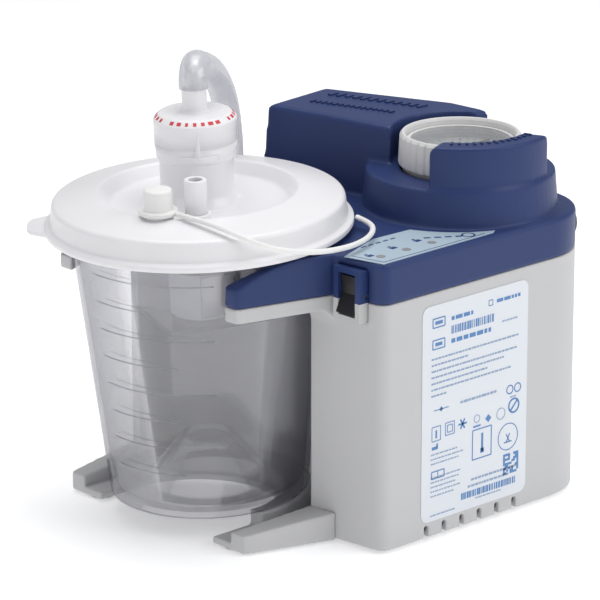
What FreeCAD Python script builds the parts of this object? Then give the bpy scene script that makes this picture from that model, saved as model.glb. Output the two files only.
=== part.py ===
import FreeCAD, Part
import math
import os
import re

import Sketcher
from FreeCAD import Placement, Rotation, Vector

# Portable medical suction pump: a two-part housing with a canister held in its front.
# Lengths are in millimetres. Every place is first given from the canister's axis on the
# table (X from the canister to the housing, -Y the side with the rating label, Z up), and
# place() then moves it to the frame: the middle of the pump's footprint.

SIZES = {
    # whole machine
    "axis_x": -44.4, "axis_y": 14.85,
    "lean_angle": 2.4, "lean_pivot": 140,
    # canister and its lid
    "jar_foot": 11.2, "jar_foot_radius": 43.4, "jar_rim": 137, "jar_rim_radius": 56.2,
    "jar_wall": 2, "jar_bead": 2.3, "jar_bead_height": 3, "jar_floor": 4,
    "punt_radius": 27.3, "punt_top_radius": 11.5, "punt_height": 24,
    "gasket_height": 1.5, "flange_radius": 66.7,
    "skirt_drop": 5.5, "skirt_radius": 64.2, "rim_radius": 63.2, "rim_height": 4.3,
    "crest_radius": 43, "crest_rise": 8.5, "recess_radius": 38, "recess_rise": 2.8,
    "neck_radius": 16, "neck_bore": 13.5, "neck_top": 161.7,
    "tab_reach": 74.2, "tab_width": 20,
    "port_x": -24.5, "port_y": -26.5, "port_radius": 4.8, "port_bore": 3, "port_top": 162,
    "port_foot": 1.5, "port_foot_top": 147.3,
    "capped_x": -36.5, "capped_y": -16.2, "capped_top": 153,
    "cap_radius": 6.1, "cap_lip_radius": 8.4, "cap_top": 158.5, "cap_lip": 147.5,
    "tether_radius": 1.2,
    # overflow float and its shield
    "shield_width": 48, "shield_depth": 46, "shield_turn": -20, "shield_drop": 47,
    "shield_wall": 1.5, "shield_hole": 7, "float_radius": 14, "float_height": 20,
    # bacteria filter and the elbow on it
    "filter_radius": 17.9, "filter_top": 181.1, "spigot_drop": 16, "stem_radius": 5.4,
    "stem_top": 191.5, "stem_bore": 3.2, "elbow_bend": 7, "elbow_angle": 105,
    "hose_radius": 5.9, "hose_bore": 3.9,
    # housing
    "front_near": 17.9, "front_far": 13.4, "rear": 153.3, "near_side": -96.1, "far_side": 61,
    "cradle_radius": 57.5, "wall": 2.5, "housing_foot": 1.5,
    "split": 111.3, "deck": 129.2, "arm_foot": 105, "gusset": 8, "arm_tip_x": -30.5, "arm_tip_y": 56.6,
    "arm_root_x": 14.9, "arm_root_y": 69.3, "arm_tip_top": 119.7,
    "rear_corner": 31.5, "front_corner": 5,
    "knob_x": 108.7, "knob_y": -50.4, "ledge": 146, "pedestal_radius": 43,
    "ledge_radius": 41.5, "shroud_top": 164.9, "shroud_radius": 40.4, "shroud_inner": 29.3,
    "ridge_top": 162.8, "shroud_left": -155, "shroud_right": -66, "shroud_corner": 4,
    # tray
    "tray_tip_x": -26.1, "tray_tip_y": 57.2, "tray_low": 9, "tray_high": 13.1,
    "tray_floor": 3, "tray_rib": 9,
    # knob and gauge
    "knob_radius": 27.3, "knob_bore": 24, "knob_foot": 147.5, "knob_top": 161.7,
    "gauge_radius": 23.6, "gauge_top": 158.5,
    # drive
    "motor_x": 121, "motor_y": 17, "motor_z": 76, "motor_radius": 19, "motor_length": 50,
    "shaft_radius": 2.5, "throw": 2.5, "crank_y": -24, "diaphragm_x": 88,
    "cell_radius": 11.3, "cell_height": 43,
    "cell_pitch": 23, "battery_x": 99, "battery_y": -74, "board_x": 28, "board_y": -91,
    # switch, vents, feet, lamps, labels, inlet
    "rocker_half": 4.8, "rocker_z": 114, "rocker_reach": 8,
    "switch_y": -79, "switch_half": 7.9, "switch_low": 102.5, "switch_high": 125.5,
    "vent_x": 44.3, "vent_pitch": 10.8, "vent_top": 7,
    "foot_radius": 6, "foot_rear_x": 133, "foot_near_y": -72, "foot_far_y": 38,
    "foot_front_x": -19, "foot_front_y": 44, "tray_foot": 1.2, "tray_opening": 36.5,
    "tray_root_y": 71.7,
    "led_x": 25.9, "led_pitch": 15.1, "led_y": -85.7, "led_radius": 2,
    "label_left": 40.5, "label_right": 104.8, "label_low": 8.6, "label_high": 105.7,
    "nipple_x": 60.82, "nipple_y": 46.44, "jack_turn": -18.5, "jack_seat": 30.6, "jack_z": 118.2,
    "jack_radius": 4.6,
}

NAMES = sorted(SIZES, key=len, reverse=True)

doc = FreeCAD.newDocument("suction_pump")
sheet = doc.addObject("Spreadsheet::Sheet", "dims")
for row, (alias, size) in enumerate(SIZES.items(), start=1):
    sheet.set("A%d" % row, alias)
    sheet.set("B%d" % row, str(size))
    sheet.setAlias("B%d" % row, alias)
doc.recompute()

pieces = []


# ---------------------------------------------------------------- sizes and places

def bound(text):
    """The expression as the document reads it: each alias gets the sheet's name."""
    def named(match):
        word = match.group(0)
        return "dims." + word if word in SIZES else word
    return re.sub(r"[a-z]+(?:_[a-z]+)*", named, str(text))


def val(text):
    """The number that an expression of sheet aliases comes to."""
    return float(sheet.evalExpression(bound(text)))


def bind(item, prop, text):
    """Ties a size of an object to an expression of sheet aliases."""
    setattr(item, prop, val(text))
    item.setExpression(prop, bound(text))


def leaning():
    """The canister's own lean: its top is tipped a little away from the housing."""
    return Placement(Vector(), Rotation(Vector(0, -1, 0), val("lean_angle")),
                     Vector(0, 0, val("lean_pivot")))


def place(piece, x=0, y=0, z=0, axis=(0, 0, 1), angle=0, lean=False):
    """Moves a finished piece by x, y, z from the canister's axis, leaning with it or not."""
    there = Placement(Vector(val(x), val(y), val(z)), Rotation(Vector(*axis), angle))
    if lean:
        there = leaning().multiply(there)
    shift = Placement(Vector(val("axis_x"), val("axis_y"), 0), Rotation())
    piece.Placement = shift.multiply(there).multiply(piece.Placement)
    return piece


def keep(piece, label):
    """Names a finished sub-part and lists it for writing."""
    piece.Label = label
    pieces.append(piece)
    return piece


# ---------------------------------------------------------------- sketches and features

def new_body(label):
    body = doc.addObject("PartDesign::Body", "body_" + label)
    return keep(body, label)


def plane_of(body, role):
    return [item for item in body.Origin.OriginFeatures if item.Role == role][0]


def sketch_on(body, role, offset=0):
    sketch = body.newObject("Sketcher::SketchObject", "sketch")
    sketch.AttachmentSupport = [(plane_of(body, role), "")]
    sketch.MapMode = "FlatFace"
    sketch.AttachmentOffset = Placement(Vector(0, 0, val(offset)), Rotation())
    sketch.setExpression("AttachmentOffset.Base.z", bound(offset))
    return sketch


def pin_corner(sketch, edge, end, x, y):
    """Fixes one end of an edge by two distances from the origin, tied to expressions."""
    for kind, text in (("DistanceX", x), ("DistanceY", y)):
        number = sketch.addConstraint(Sketcher.Constraint(kind, -1, 1, edge, end, val(text)))
        sketch.setExpression("Constraints[%d]" % number, bound(text))


def outline(sketch, corners):
    """Closes a loop through corners (x, y), each an expression. A third value is the radius
    of the arc to the next corner: positive bulges to the right of the way there, negative
    to the left."""
    points = [Vector(val(corner[0]), val(corner[1]), 0) for corner in corners]
    ends = []
    for number, corner in enumerate(corners):
        start = points[number]
        stop = points[(number + 1) % len(points)]
        if len(corner) == 2:
            edge = sketch.addGeometry(Part.LineSegment(start, stop))
            ends.append((edge, 1, 2))
            continue
        radius = val(corner[2])
        half = stop.sub(start).multiply(0.5)
        side = Vector(half.y, -half.x, 0).normalize()
        sag = abs(radius) - math.sqrt(radius ** 2 - half.Length ** 2)
        middle = start.add(half).add(side.multiply(math.copysign(sag, radius)))
        turned_left = radius > 0
        arc = Part.Arc(start, middle, stop) if turned_left else Part.Arc(stop, middle, start)
        edge = sketch.addGeometry(arc)
        ends.append((edge, 1, 2) if turned_left else (edge, 2, 1))
        number_of = sketch.addConstraint(Sketcher.Constraint("Radius", edge, abs(radius)))
        sketch.setExpression("Constraints[%d]" % number_of, bound("abs(%s)" % corner[2]))
    for number, corner in enumerate(corners):
        edge, first, last = ends[number]
        after, after_first, _ = ends[(number + 1) % len(ends)]
        sketch.addConstraint(Sketcher.Constraint("Coincident", edge, last, after, after_first))
        pin_corner(sketch, edge, first, corner[0], corner[1])
    return sketch


def ring(sketch, radius, x=0, y=0):
    """Adds a circle whose centre and radius are tied to expressions."""
    centre = Vector(val(x), val(y), 0)
    edge = sketch.addGeometry(Part.Circle(centre, Vector(0, 0, 1), val(radius)))
    number = sketch.addConstraint(Sketcher.Constraint("Radius", edge, val(radius)))
    sketch.setExpression("Constraints[%d]" % number, bound(radius))
    if centre.Length == 0:
        sketch.addConstraint(Sketcher.Constraint("Coincident", edge, 3, -1, 1))
    else:
        pin_corner(sketch, edge, 3, x, y)
    return sketch


def feature(body, kind, sketch, **settings):
    """Adds one feature to a body and returns it once the shape is worked out."""
    item = body.newObject("PartDesign::" + kind, kind.lower())
    if sketch is not None:
        item.Profile = sketch
    for prop, value in settings.items():
        if isinstance(value, str) and prop in ("Length", "Angle", "Radius", "Size"):
            bind(item, prop, value)
        else:
            setattr(item, prop, value)
    doc.recompute()
    return item


def pad(body, corners, low, high):
    """A prism between two heights over a closed outline."""
    sketch = outline(sketch_on(body, "XY_Plane", low), corners)
    return feature(body, "Pad", sketch, Length="(%s) - (%s)" % (high, low))


def disc(body, radius, low, high, x=0, y=0):
    sketch = ring(sketch_on(body, "XY_Plane", low), radius, x, y)
    return feature(body, "Pad", sketch, Length="(%s) - (%s)" % (high, low))


def cut(body, corners, low, high):
    """Takes a prism between two heights out of the body."""
    sketch = outline(sketch_on(body, "XY_Plane", low), corners)
    return feature(body, "Pocket", sketch, Length="(%s) - (%s)" % (high, low), Reversed=True)


def drill(body, radius, low, high, x=0, y=0):
    sketch = ring(sketch_on(body, "XY_Plane", low), radius, x, y)
    return feature(body, "Pocket", sketch, Length="(%s) - (%s)" % (high, low), Reversed=True)


def loft(body, kind, lower, low, upper, high):
    """A straight-sided loft between two outlines with the same number of edges."""
    first = outline(sketch_on(body, "XY_Plane", low), lower)
    second = outline(sketch_on(body, "XY_Plane", high), upper)
    return feature(body, kind, first, Sections=[second], Ruled=True)


def side_cut(body, corners, low, high):
    """Takes a prism along Y, from y = low to y = high, over an outline in X and Z."""
    sketch = outline(sketch_on(body, "XZ_Plane", "-(%s)" % high), corners)
    return feature(body, "Pocket", sketch, Length="(%s) - (%s)" % (high, low), Reversed=True)


def spin(body, corners):
    """Turns an outline of (radius, height) corners right round the body's own axis."""
    sketch = outline(sketch_on(body, "XZ_Plane"), corners)
    return feature(body, "Revolution", sketch, ReferenceAxis=(sketch, ["V_Axis"]), Angle="360")


def turned(label, corners, **where):
    """A piece that is round about its own upright axis."""
    body = new_body(label)
    spin(body, corners)
    return place(body, **where)


def edges_near(item, spots, reach=2.0):
    """Names of the edges whose middle lies within reach of one of the spots."""
    found = []
    for number, edge in enumerate(item.Shape.Edges, start=1):
        middle = edge.valueAt((edge.FirstParameter + edge.LastParameter) / 2)
        if any(middle.distanceToPoint(Vector(*spot)) < reach for spot in spots):
            found.append("Edge%d" % number)
    return found


def upright_edges(item, spots, reach=3.0):
    """Names of the nearly upright edges that pass within reach of an (x, y) spot."""
    found = []
    for number, edge in enumerate(item.Shape.Edges, start=1):
        if len(edge.Vertexes) != 2:
            continue
        span = edge.Vertexes[1].Point.sub(edge.Vertexes[0].Point)
        if abs(span.z) < 0.9 * span.Length:
            continue
        middle = edge.Vertexes[0].Point.add(span.multiply(0.5))
        for x, y in spots:
            if math.hypot(middle.x - val(x), middle.y - val(y)) < reach:
                found.append("Edge%d" % number)
    return found


def level_edges(item, height):
    """Names of the edges that lie wholly at one height."""
    level = val(height)
    return ["Edge%d" % number for number, edge in enumerate(item.Shape.Edges, start=1)
            if abs(edge.BoundBox.ZMin - level) < 0.01 and abs(edge.BoundBox.ZMax - level) < 0.01]


def rounded(body, item, names, radius):
    """Rounds the named edges of the body's last feature."""
    return feature(body, "Fillet", None, Base=(item, names), Radius=str(radius))


# ---------------------------------------------------------------- plain solids

def block(x, y, z, width, depth, height):
    """A box by its lowest corner and three sizes."""
    item = doc.addObject("Part::Box", "block")
    for prop, text in (("Length", width), ("Width", depth), ("Height", height)):
        bind(item, prop, text)
    item.Placement.Base = Vector(val(x), val(y), val(z))
    return item


TOWARDS = {"x": Rotation(Vector(0, 1, 0), 90), "y": Rotation(Vector(1, 0, 0), -90),
           "z": Rotation()}


def rod(radius, length, x=0, y=0, z=0, along="z"):
    """A cylinder that starts at a point and runs along +X, +Y or +Z."""
    item = doc.addObject("Part::Cylinder", "rod")
    bind(item, "Radius", radius)
    bind(item, "Height", length)
    item.Placement = Placement(Vector(val(x), val(y), val(z)), TOWARDS[along])
    return item


def fused(*items):
    item = doc.addObject("Part::MultiFuse", "fused")
    item.Shapes = list(items)
    return item


def less(base, *tools):
    """A base with tools taken out of it."""
    item = doc.addObject("Part::Cut", "cut")
    item.Base = base
    item.Tool = tools[0] if len(tools) == 1 else fused(*tools)
    return item


def group(label, items):
    """Separate solids that share one node."""
    item = doc.addObject("Part::Compound", "group")
    item.Links = list(items)
    return keep(place(item), label)


# ---------------------------------------------------------------- canister and lid

def make_canister():
    turned("canister", [
        ("0", "jar_foot + punt_height - jar_wall"),
        ("punt_top_radius - jar_wall", "jar_foot + punt_height - jar_wall"),
        ("punt_radius - jar_wall", "jar_foot + jar_wall"),
        ("jar_foot_radius - 3.4", "jar_foot + jar_wall"),
        ("jar_foot_radius - 2", "jar_foot"),
        ("jar_foot_radius", "jar_foot"),
        ("jar_rim_radius", "jar_rim - jar_bead_height"),
        ("jar_rim_radius + jar_bead", "jar_rim - jar_bead_height"),
        ("jar_rim_radius + jar_bead", "jar_rim"),
        ("jar_rim_radius - jar_wall", "jar_rim"),
        ("jar_rim_radius - jar_wall", "jar_rim - jar_bead_height"),
        ("jar_foot_radius - jar_wall + 0.2", "jar_foot + jar_floor"),
        ("punt_radius", "jar_foot + jar_floor"),
        ("punt_top_radius", "jar_foot + punt_height"),
        ("0", "jar_foot + punt_height"),
    ], lean=True)


def make_lid():
    """The lid: a flange and skirt over the canister's rim, a coned top ring, a sunk middle with
    the neck for the filter, two ports and a lifting tab."""
    top = "jar_rim + gasket_height"
    body = new_body("canister_lid")
    spin(body, [
        ("flange_radius - 7.5", "%s - 1 - skirt_drop - 1.5" % top),
        ("flange_radius", "%s - 1 - skirt_drop - 1.5" % top),
        ("flange_radius", "%s - 1 - skirt_drop + 1" % top),
        ("skirt_radius", "%s - skirt_drop + 2" % top),
        ("rim_radius", "%s + rim_height" % top),
        ("crest_radius", "%s + crest_rise" % top),
        ("recess_radius", "%s + recess_rise" % top),
        ("neck_radius + 2.5", "%s + recess_rise" % top),
        ("neck_radius", "%s + recess_rise + 5" % top),
        ("neck_radius", "neck_top"),
        ("neck_bore", "neck_top"),
        ("neck_bore", "%s + 0.6" % top),
        ("recess_radius + 0.8", "%s + 0.6" % top),
        ("crest_radius - 0.3", "%s + crest_rise - 2.4" % top),
        ("jar_rim_radius - 2.5", "%s + 3.8" % top),
        ("jar_rim_radius - 2.5", top),
        ("flange_radius - 7.5", top),
    ])
    low = "%s - 1 - skirt_drop - 1.5" % top
    reach = "flange_radius - 5"
    turn = 137
    # the tab is drawn along its own direction, 137 degrees round from +X
    along = (math.cos(math.radians(turn)), math.sin(math.radians(turn)))
    across = (-along[1], along[0])

    def spot(far, side):
        return tuple("(%s) * %.6f + (%s) * %.6f" % (far, along[i], side, across[i]) for i in (0, 1))
    pad(body, [spot(reach, "0 - tab_width / 2 - 8"), spot("tab_reach - 3", "0 - tab_width / 2"),
               spot("tab_reach", "0 - tab_width / 2 + 4"), spot("tab_reach", "tab_width / 2 - 4"),
               spot("tab_reach - 3", "tab_width / 2"), spot(reach, "tab_width / 2 + 8")],
        low, "%s + 2" % low)
    base = "%s + 1.8" % top
    for x, y in (("port_x", "port_y"), ("capped_x", "capped_y")):
        disc(body, "port_radius + port_foot", base, "port_foot_top", x, y)
    disc(body, "port_radius", base, "port_top", "port_x", "port_y")
    disc(body, "port_radius", base, "capped_top", "capped_x", "capped_y")
    drill(body, "port_bore", top, "port_top + 1", "port_x", "port_y")
    drill(body, "port_bore", top, "capped_top + 1", "capped_x", "capped_y")
    place(body, lean=True)


def make_jar_fittings():
    turned("lid_gasket", [("jar_rim_radius - 1.8", "jar_rim"), ("jar_rim_radius + 2", "jar_rim"),
                          ("jar_rim_radius + 2", "jar_rim + gasket_height"),
                          ("jar_rim_radius - 1.8", "jar_rim + gasket_height")], lean=True)
    # overflow shield: an open-sided box under the lid's neck, with a floor the float rests on
    shield = new_body("float_shield")
    half_w = "shield_width / 2"
    half_d = "shield_depth / 2"
    top = "jar_rim + gasket_height + 0.6"
    floor = "jar_rim - shield_drop"
    pad(shield, [("0 - %s" % half_w, "0 - %s" % half_d), (half_w, "0 - %s" % half_d),
                 (half_w, half_d), ("0 - %s" % half_w, half_d)], floor, top)
    skin = "shield_wall"
    cut(shield, [("0 - %s + %s" % (half_w, skin), "0 - %s + %s" % (half_d, skin)),
                 ("%s - %s" % (half_w, skin), "0 - %s + %s" % (half_d, skin)),
                 ("%s - %s" % (half_w, skin), "%s - %s" % (half_d, skin)),
                 ("0 - %s + %s" % (half_w, skin), "%s - %s" % (half_d, skin))],
        "%s + %s" % (floor, skin), "%s - 2" % top)
    drill(shield, "shield_hole", "%s - 3" % top, "%s + 1" % top)
    side_cut(shield, [("-9", "%s + 6" % floor), ("9", "%s + 6" % floor),
                      ("9", "%s + 24" % floor), ("-9", "%s + 24" % floor)],
             "0 - %s - 1" % half_d, "%s + 1" % half_d)
    place(shield, angle=SIZES["shield_turn"], lean=True)
    rest = "%s + shield_wall" % floor
    turned("shutoff_float", [("0", rest), ("float_radius", rest),
                             ("float_radius", "%s + float_height" % rest),
                             ("5", "%s + float_height + 4" % rest),
                             ("5", "%s + float_height + 8" % rest),
                             ("0", "%s + float_height + 8" % rest)], lean=True)
    turned("float_seal", [("0", "%s + float_height + 8" % rest),
                          ("9", "%s + float_height + 8" % rest),
                          ("9", "%s + float_height + 10" % rest),
                          ("0", "%s + float_height + 10" % rest)], lean=True)
    # port cap with a ring round its foot, and the tether that keeps it on the lid
    turned("port_cap", [("port_radius + 0.05", "cap_lip"), ("cap_lip_radius", "cap_lip"),
                        ("cap_lip_radius", "cap_lip + 2"), ("cap_radius", "cap_lip + 2"),
                        ("cap_radius", "cap_top - 1"), ("cap_radius - 1", "cap_top"),
                        ("0", "cap_top"), ("0", "capped_top"),
                        ("port_radius + 0.05", "capped_top")],
           x="capped_x", y="capped_y", lean=True)


# The tether's way, before the lid leans: from the cap's ring over the lid's rim, out past the
# flange and back to the flange's edge.
TETHER = [(-33.9, -24.5, 148.6), (-34.1, -30.5, 148.6), (-32.6, -37.5, 148.1),
          (-31.2, -46.5, 147.1), (-30.2, -56.2, 145.6), (-23.4, -64.6, 140.8),
          (-12.4, -69.6, 136.4), (1.0, -74.2, 133.8), (15.0, -76.0, 132.7),
          (28.8, -73.0, 132.0), (40.2, -66.4, 131.8), (47.4, -57.4, 131.75),
          (49.0, -47.0, 131.75)]


def filleted_path(points):
    """Straight runs joined by tangent arcs as large as the two runs beside each point allow."""
    spots = [Vector(*point) for point in points]
    edges = []
    radii = []
    here = spots[0]
    for before, corner, after in zip(spots, spots[1:], spots[2:]):
        run_in = corner.sub(before)
        run_out = after.sub(corner)
        shorter = min(run_in.Length, run_out.Length)
        turn = run_in.getAngle(run_out)
        radii.append(0.45 * shorter / math.tan(turn / 2))
        start = corner.sub(Vector(run_in).normalize().multiply(0.45 * shorter))
        stop = corner.add(Vector(run_out).normalize().multiply(0.45 * shorter))
        inward = start.add(stop).multiply(0.5).sub(corner)
        depth = radii[-1] / math.cos(turn / 2) - radii[-1]
        middle = corner.add(inward.normalize().multiply(depth))
        edges.append(Part.LineSegment(here, start).toShape())
        edges.append(Part.Arc(start, middle, stop).toShape())
        here = stop
    edges.append(Part.LineSegment(here, spots[-1]).toShape())
    return Part.Wire(edges), radii


def swept(label, points, radius, bore=0, lean=False):
    """A round tube along a filleted path, whose volume is compared with section times length."""
    path, radii = filleted_path(points)
    heading = Vector(*points[1]).sub(Vector(*points[0]))

    def pipe(size):
        circle = Part.Circle(Vector(*points[0]), heading, size).toShape()
        return path.makePipeShell([Part.Wire(circle)], True, True)
    solid = pipe(radius)
    if bore:
        solid = solid.cut(pipe(bore))
    wanted = math.pi * (radius ** 2 - bore ** 2) * path.Length
    item = doc.addObject("Part::Feature", "sweep_" + label)
    item.Shape = solid
    keep(place(item, lean=lean), label)
    print("%s: length %.1f, volume off by %.2f%%, arc radii %s" % (
        label, path.Length, 100 * (solid.Volume / wanted - 1),
        ", ".join("%.1f" % size for size in radii)))
    return item


def make_filter():
    """Bacteria filter that plugs into the lid's neck, its cap with the stem, and the elbow."""
    turned("filter_housing", [("8", "neck_top - spigot_drop"),
                              ("neck_bore - 0.05", "neck_top - spigot_drop"),
                              ("neck_bore - 0.05", "neck_top"), ("filter_radius", "neck_top"),
                              ("filter_radius", "neck_top + 7"), ("14", "neck_top + 7"),
                              ("14", "neck_top + 3"), ("8", "neck_top + 3")], lean=True)
    turned("filter_membrane", [("0", "neck_top + 3"), ("14", "neck_top + 3"),
                               ("14", "neck_top + 7"), ("0", "neck_top + 7")], lean=True)
    turned("filter_cap", [("14", "neck_top + 7"), ("filter_radius", "neck_top + 7"),
                          ("filter_radius", "filter_top - 1.5"),
                          ("filter_radius - 1.5", "filter_top"),
                          ("stem_radius", "filter_top"), ("stem_radius", "stem_top"),
                          ("stem_bore", "stem_top"), ("stem_bore", "filter_top - 2.5"),
                          ("14", "filter_top - 2.5")], lean=True)


def elbow_direction():
    """Level direction in which the hose leaves the stem."""
    return Vector(0.795, 0.607, 0).normalize()


def make_elbow():
    """A moulded elbow: a hollow quarter ring and a little more, from the stem towards the nipple."""
    radius = val("hose_radius + 0.5")
    bore = val("hose_bore")
    bend = val("elbow_bend")
    way = elbow_direction()
    foot = Vector(0, 0, val("stem_top"))
    start = foot.add(Vector(0, 0, 1))
    centre = start.add(Vector(way).multiply(bend))
    swing = Rotation(Vector(0, 0, 1).cross(way), 1)
    turn = val("elbow_angle")

    def on_arc(angle):
        arm = Rotation(swing.Axis, angle).multVec(Vector(way).multiply(-bend))
        return centre.add(arm)
    path = Part.Wire([Part.LineSegment(foot, start).toShape(),
                      Part.Arc(start, on_arc(turn / 2), on_arc(turn)).toShape()])

    def pipe(size):
        circle = Part.Circle(foot, Vector(0, 0, 1), size).toShape()
        return path.makePipeShell([Part.Wire(circle)], True, True)
    item = doc.addObject("Part::Feature", "sweep_elbow")
    item.Shape = pipe(radius).cut(pipe(bore))
    keep(place(item, lean=True), "hose_elbow")
    end = item.Placement.multVec(on_arc(turn))
    heading = item.Placement.Rotation.multVec(Rotation(swing.Axis, turn).multVec(Vector(0, 0, 1)))
    print("elbow outlet", end, "heading", heading)


# The hose's way from the elbow over the lid and down to the nipple on the deck.
HOSE_ROUTE = [(4.52, 5.35, 199.50), (21.63, 18.25, 194.52), (43.5, 33.8, 179.0),
              (54.35, 41.7, 164.2), (59.6, 45.55, 149.6), (60.82, 46.44, 138.7),
              (60.82, 46.44, 131.5)]


# ---------------------------------------------------------------- housing

def chord(radius, x):
    """Half the width of a circle about the canister's axis at a given x."""
    return "sqrt((%s) * (%s) - (%s) * (%s))" % (radius, radius, x, x)


def housing_plan(inset, cradle, far_x="front_far"):
    """Outline of the housing: straight walls with rounded corners, and the hollow front that
    holds the canister."""
    inset = "(%s)" % inset
    near_x = "front_far + %s" % inset
    far_x = "%s + %s" % (far_x, inset)
    near = "near_side + %s" % inset
    far = "far_side - %s" % inset
    rear = "rear - %s" % inset
    bend = "rear_corner - %s" % inset
    # the front wall and the near side meet at 96 degrees: the corner's arc starts this far off
    tip = "(front_corner - %s) / 1.118" % inset
    return [(near_x, "0 - " + chord(cradle, near_x)),
            ("front_near + %s - 0.111 * %s" % (inset, tip), "%s + 0.994 * %s" % (near, tip),
             "front_corner - %s" % inset),
            ("front_near + %s + %s" % (inset, tip), near),
            ("rear - rear_corner", near, bend), (rear, "near_side + rear_corner"),
            (rear, "far_side - rear_corner", bend), ("rear - rear_corner", far),
            (far_x, far), (far_x, chord(cradle, far_x), "0 - (%s)" % cradle)]


def arm_plans():
    """The two arms that hold the canister's shoulder: the near one flares to the label side."""
    cradle = "cradle_radius"
    tip = ("arm_tip_x", chord(cradle, "arm_tip_x"))
    near = [("front_near + 2", "0 - %s" % chord(cradle, "front_near + 2"), "0 - cradle_radius"),
            (tip[0], "0 - %s" % tip[1]), ("arm_tip_x", "0 - arm_tip_y"),
            ("arm_tip_x + 2", "0 - arm_tip_y - 1.4"),
            ("arm_root_x", "0 - arm_root_y"), ("front_near + 2", "0 - arm_root_y")]
    far = [(tip[0], tip[1], "0 - cradle_radius"),
           ("front_near + 2", chord(cradle, "front_near + 2")), ("front_near + 2", "far_side"),
           ("front_far", "far_side"), ("arm_tip_x + 2", "arm_tip_y + 1.4"),
           ("arm_tip_x", "arm_tip_y")]
    return near, far


def arm_tips():
    """The four corners of the arms' ends."""
    inner = chord("cradle_radius", "arm_tip_x")
    return [("arm_tip_x", y) for y in ("0 - arm_tip_y", "arm_tip_y", inner, "0 - " + inner)]


def front_window(body, low, high):
    """The rocker switch's window through the front wall."""
    sketch = outline(sketch_on(body, "YZ_Plane", "8"),
                     [("switch_y - switch_half", low), ("switch_y + switch_half", low),
                      ("switch_y + switch_half", high), ("switch_y - switch_half", high)])
    return feature(body, "Pocket", sketch, Length="16", Reversed=True)


# Screw bosses that join the two halves of the housing.
BOSSES = [(38, -66), (93, -86), (72, 52), (121, 53)]


ARM_ROOTS = [(14.1, -62.6, 105), (13.4, 58.4, 105)]


def make_lower_housing():
    body = new_body("lower_housing")
    pad(body, housing_plan("0", "cradle_radius"), "housing_foot", "split")
    for plan in arm_plans():
        last = pad(body, plan, "arm_foot", "split")
    last = rounded(body, last, upright_edges(last, arm_tips(), 2.5), 1.2)
    rounded(body, last, edges_near(last, ARM_ROOTS), "gusset")
    cut(body, housing_plan("wall", "cradle_radius + wall", "front_far + 7"),
        "housing_foot + wall", "split")
    for x, y in BOSSES:
        disc(body, "4", "housing_foot + 1", "split", x, y)
        drill(body, "2.6", "housing_foot", "96", x, y)
        drill(body, "1.5", "95", "split + 1", x, y)
    for number in range(6):
        x = "vent_x + vent_pitch * %d" % number
        side_cut(body, [("%s - 1.2" % x, "housing_foot - 1"), ("%s + 1.2" % x, "housing_foot - 1"),
                        ("%s + 1.2" % x, "vent_top"), ("%s - 1.2" % x, "vent_top")],
                 "near_side - 1", "near_side + wall + 1")
    for y in ("foot_near_y", "foot_far_y"):
        drill(body, "foot_radius", "housing_foot", "housing_foot + 1.5", "foot_rear_x", y)
    front_window(body, "switch_low", "split + 1")
    return place(body)


def round_loft(body, kind, radius, low, upper_radius, high, x, y):
    first = ring(sketch_on(body, "XY_Plane", low), radius, x, y)
    second = ring(sketch_on(body, "XY_Plane", high), upper_radius, x, y)
    return feature(body, kind, first, Sections=[second], Ruled=True)


RIDGE_FOOT = [(74.4, 40.6), (80.9, 10), (85.5, -19.4), (88.5, -33), (143.5, -37), (142, -15),
              (117, 45.6)]
RIDGE_TOP = [(76.4, 38.4), (82.4, 10), (87, -18.4), (90, -31), (141, -35), (139.5, -15),
             (115.7, 43.2)]
RIDGE_HOLLOW_FOOT = [(78.5, 37), (84.3, 8), (88.5, -14), (138.5, -15), (114.5, 41)]
RIDGE_HOLLOW_TOP = [(80, 35), (85.6, 8), (90, -13.5), (136.5, -14.5), (113.6, 39.6)]


def on_ring(radius, angle, *arc):
    """A corner at an angle on a circle round the knob's axis."""
    return ("knob_x + %s * cos(%s * 1deg)" % (radius, angle),
            "knob_y + %s * sin(%s * 1deg)" % (radius, angle)) + arc


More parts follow.
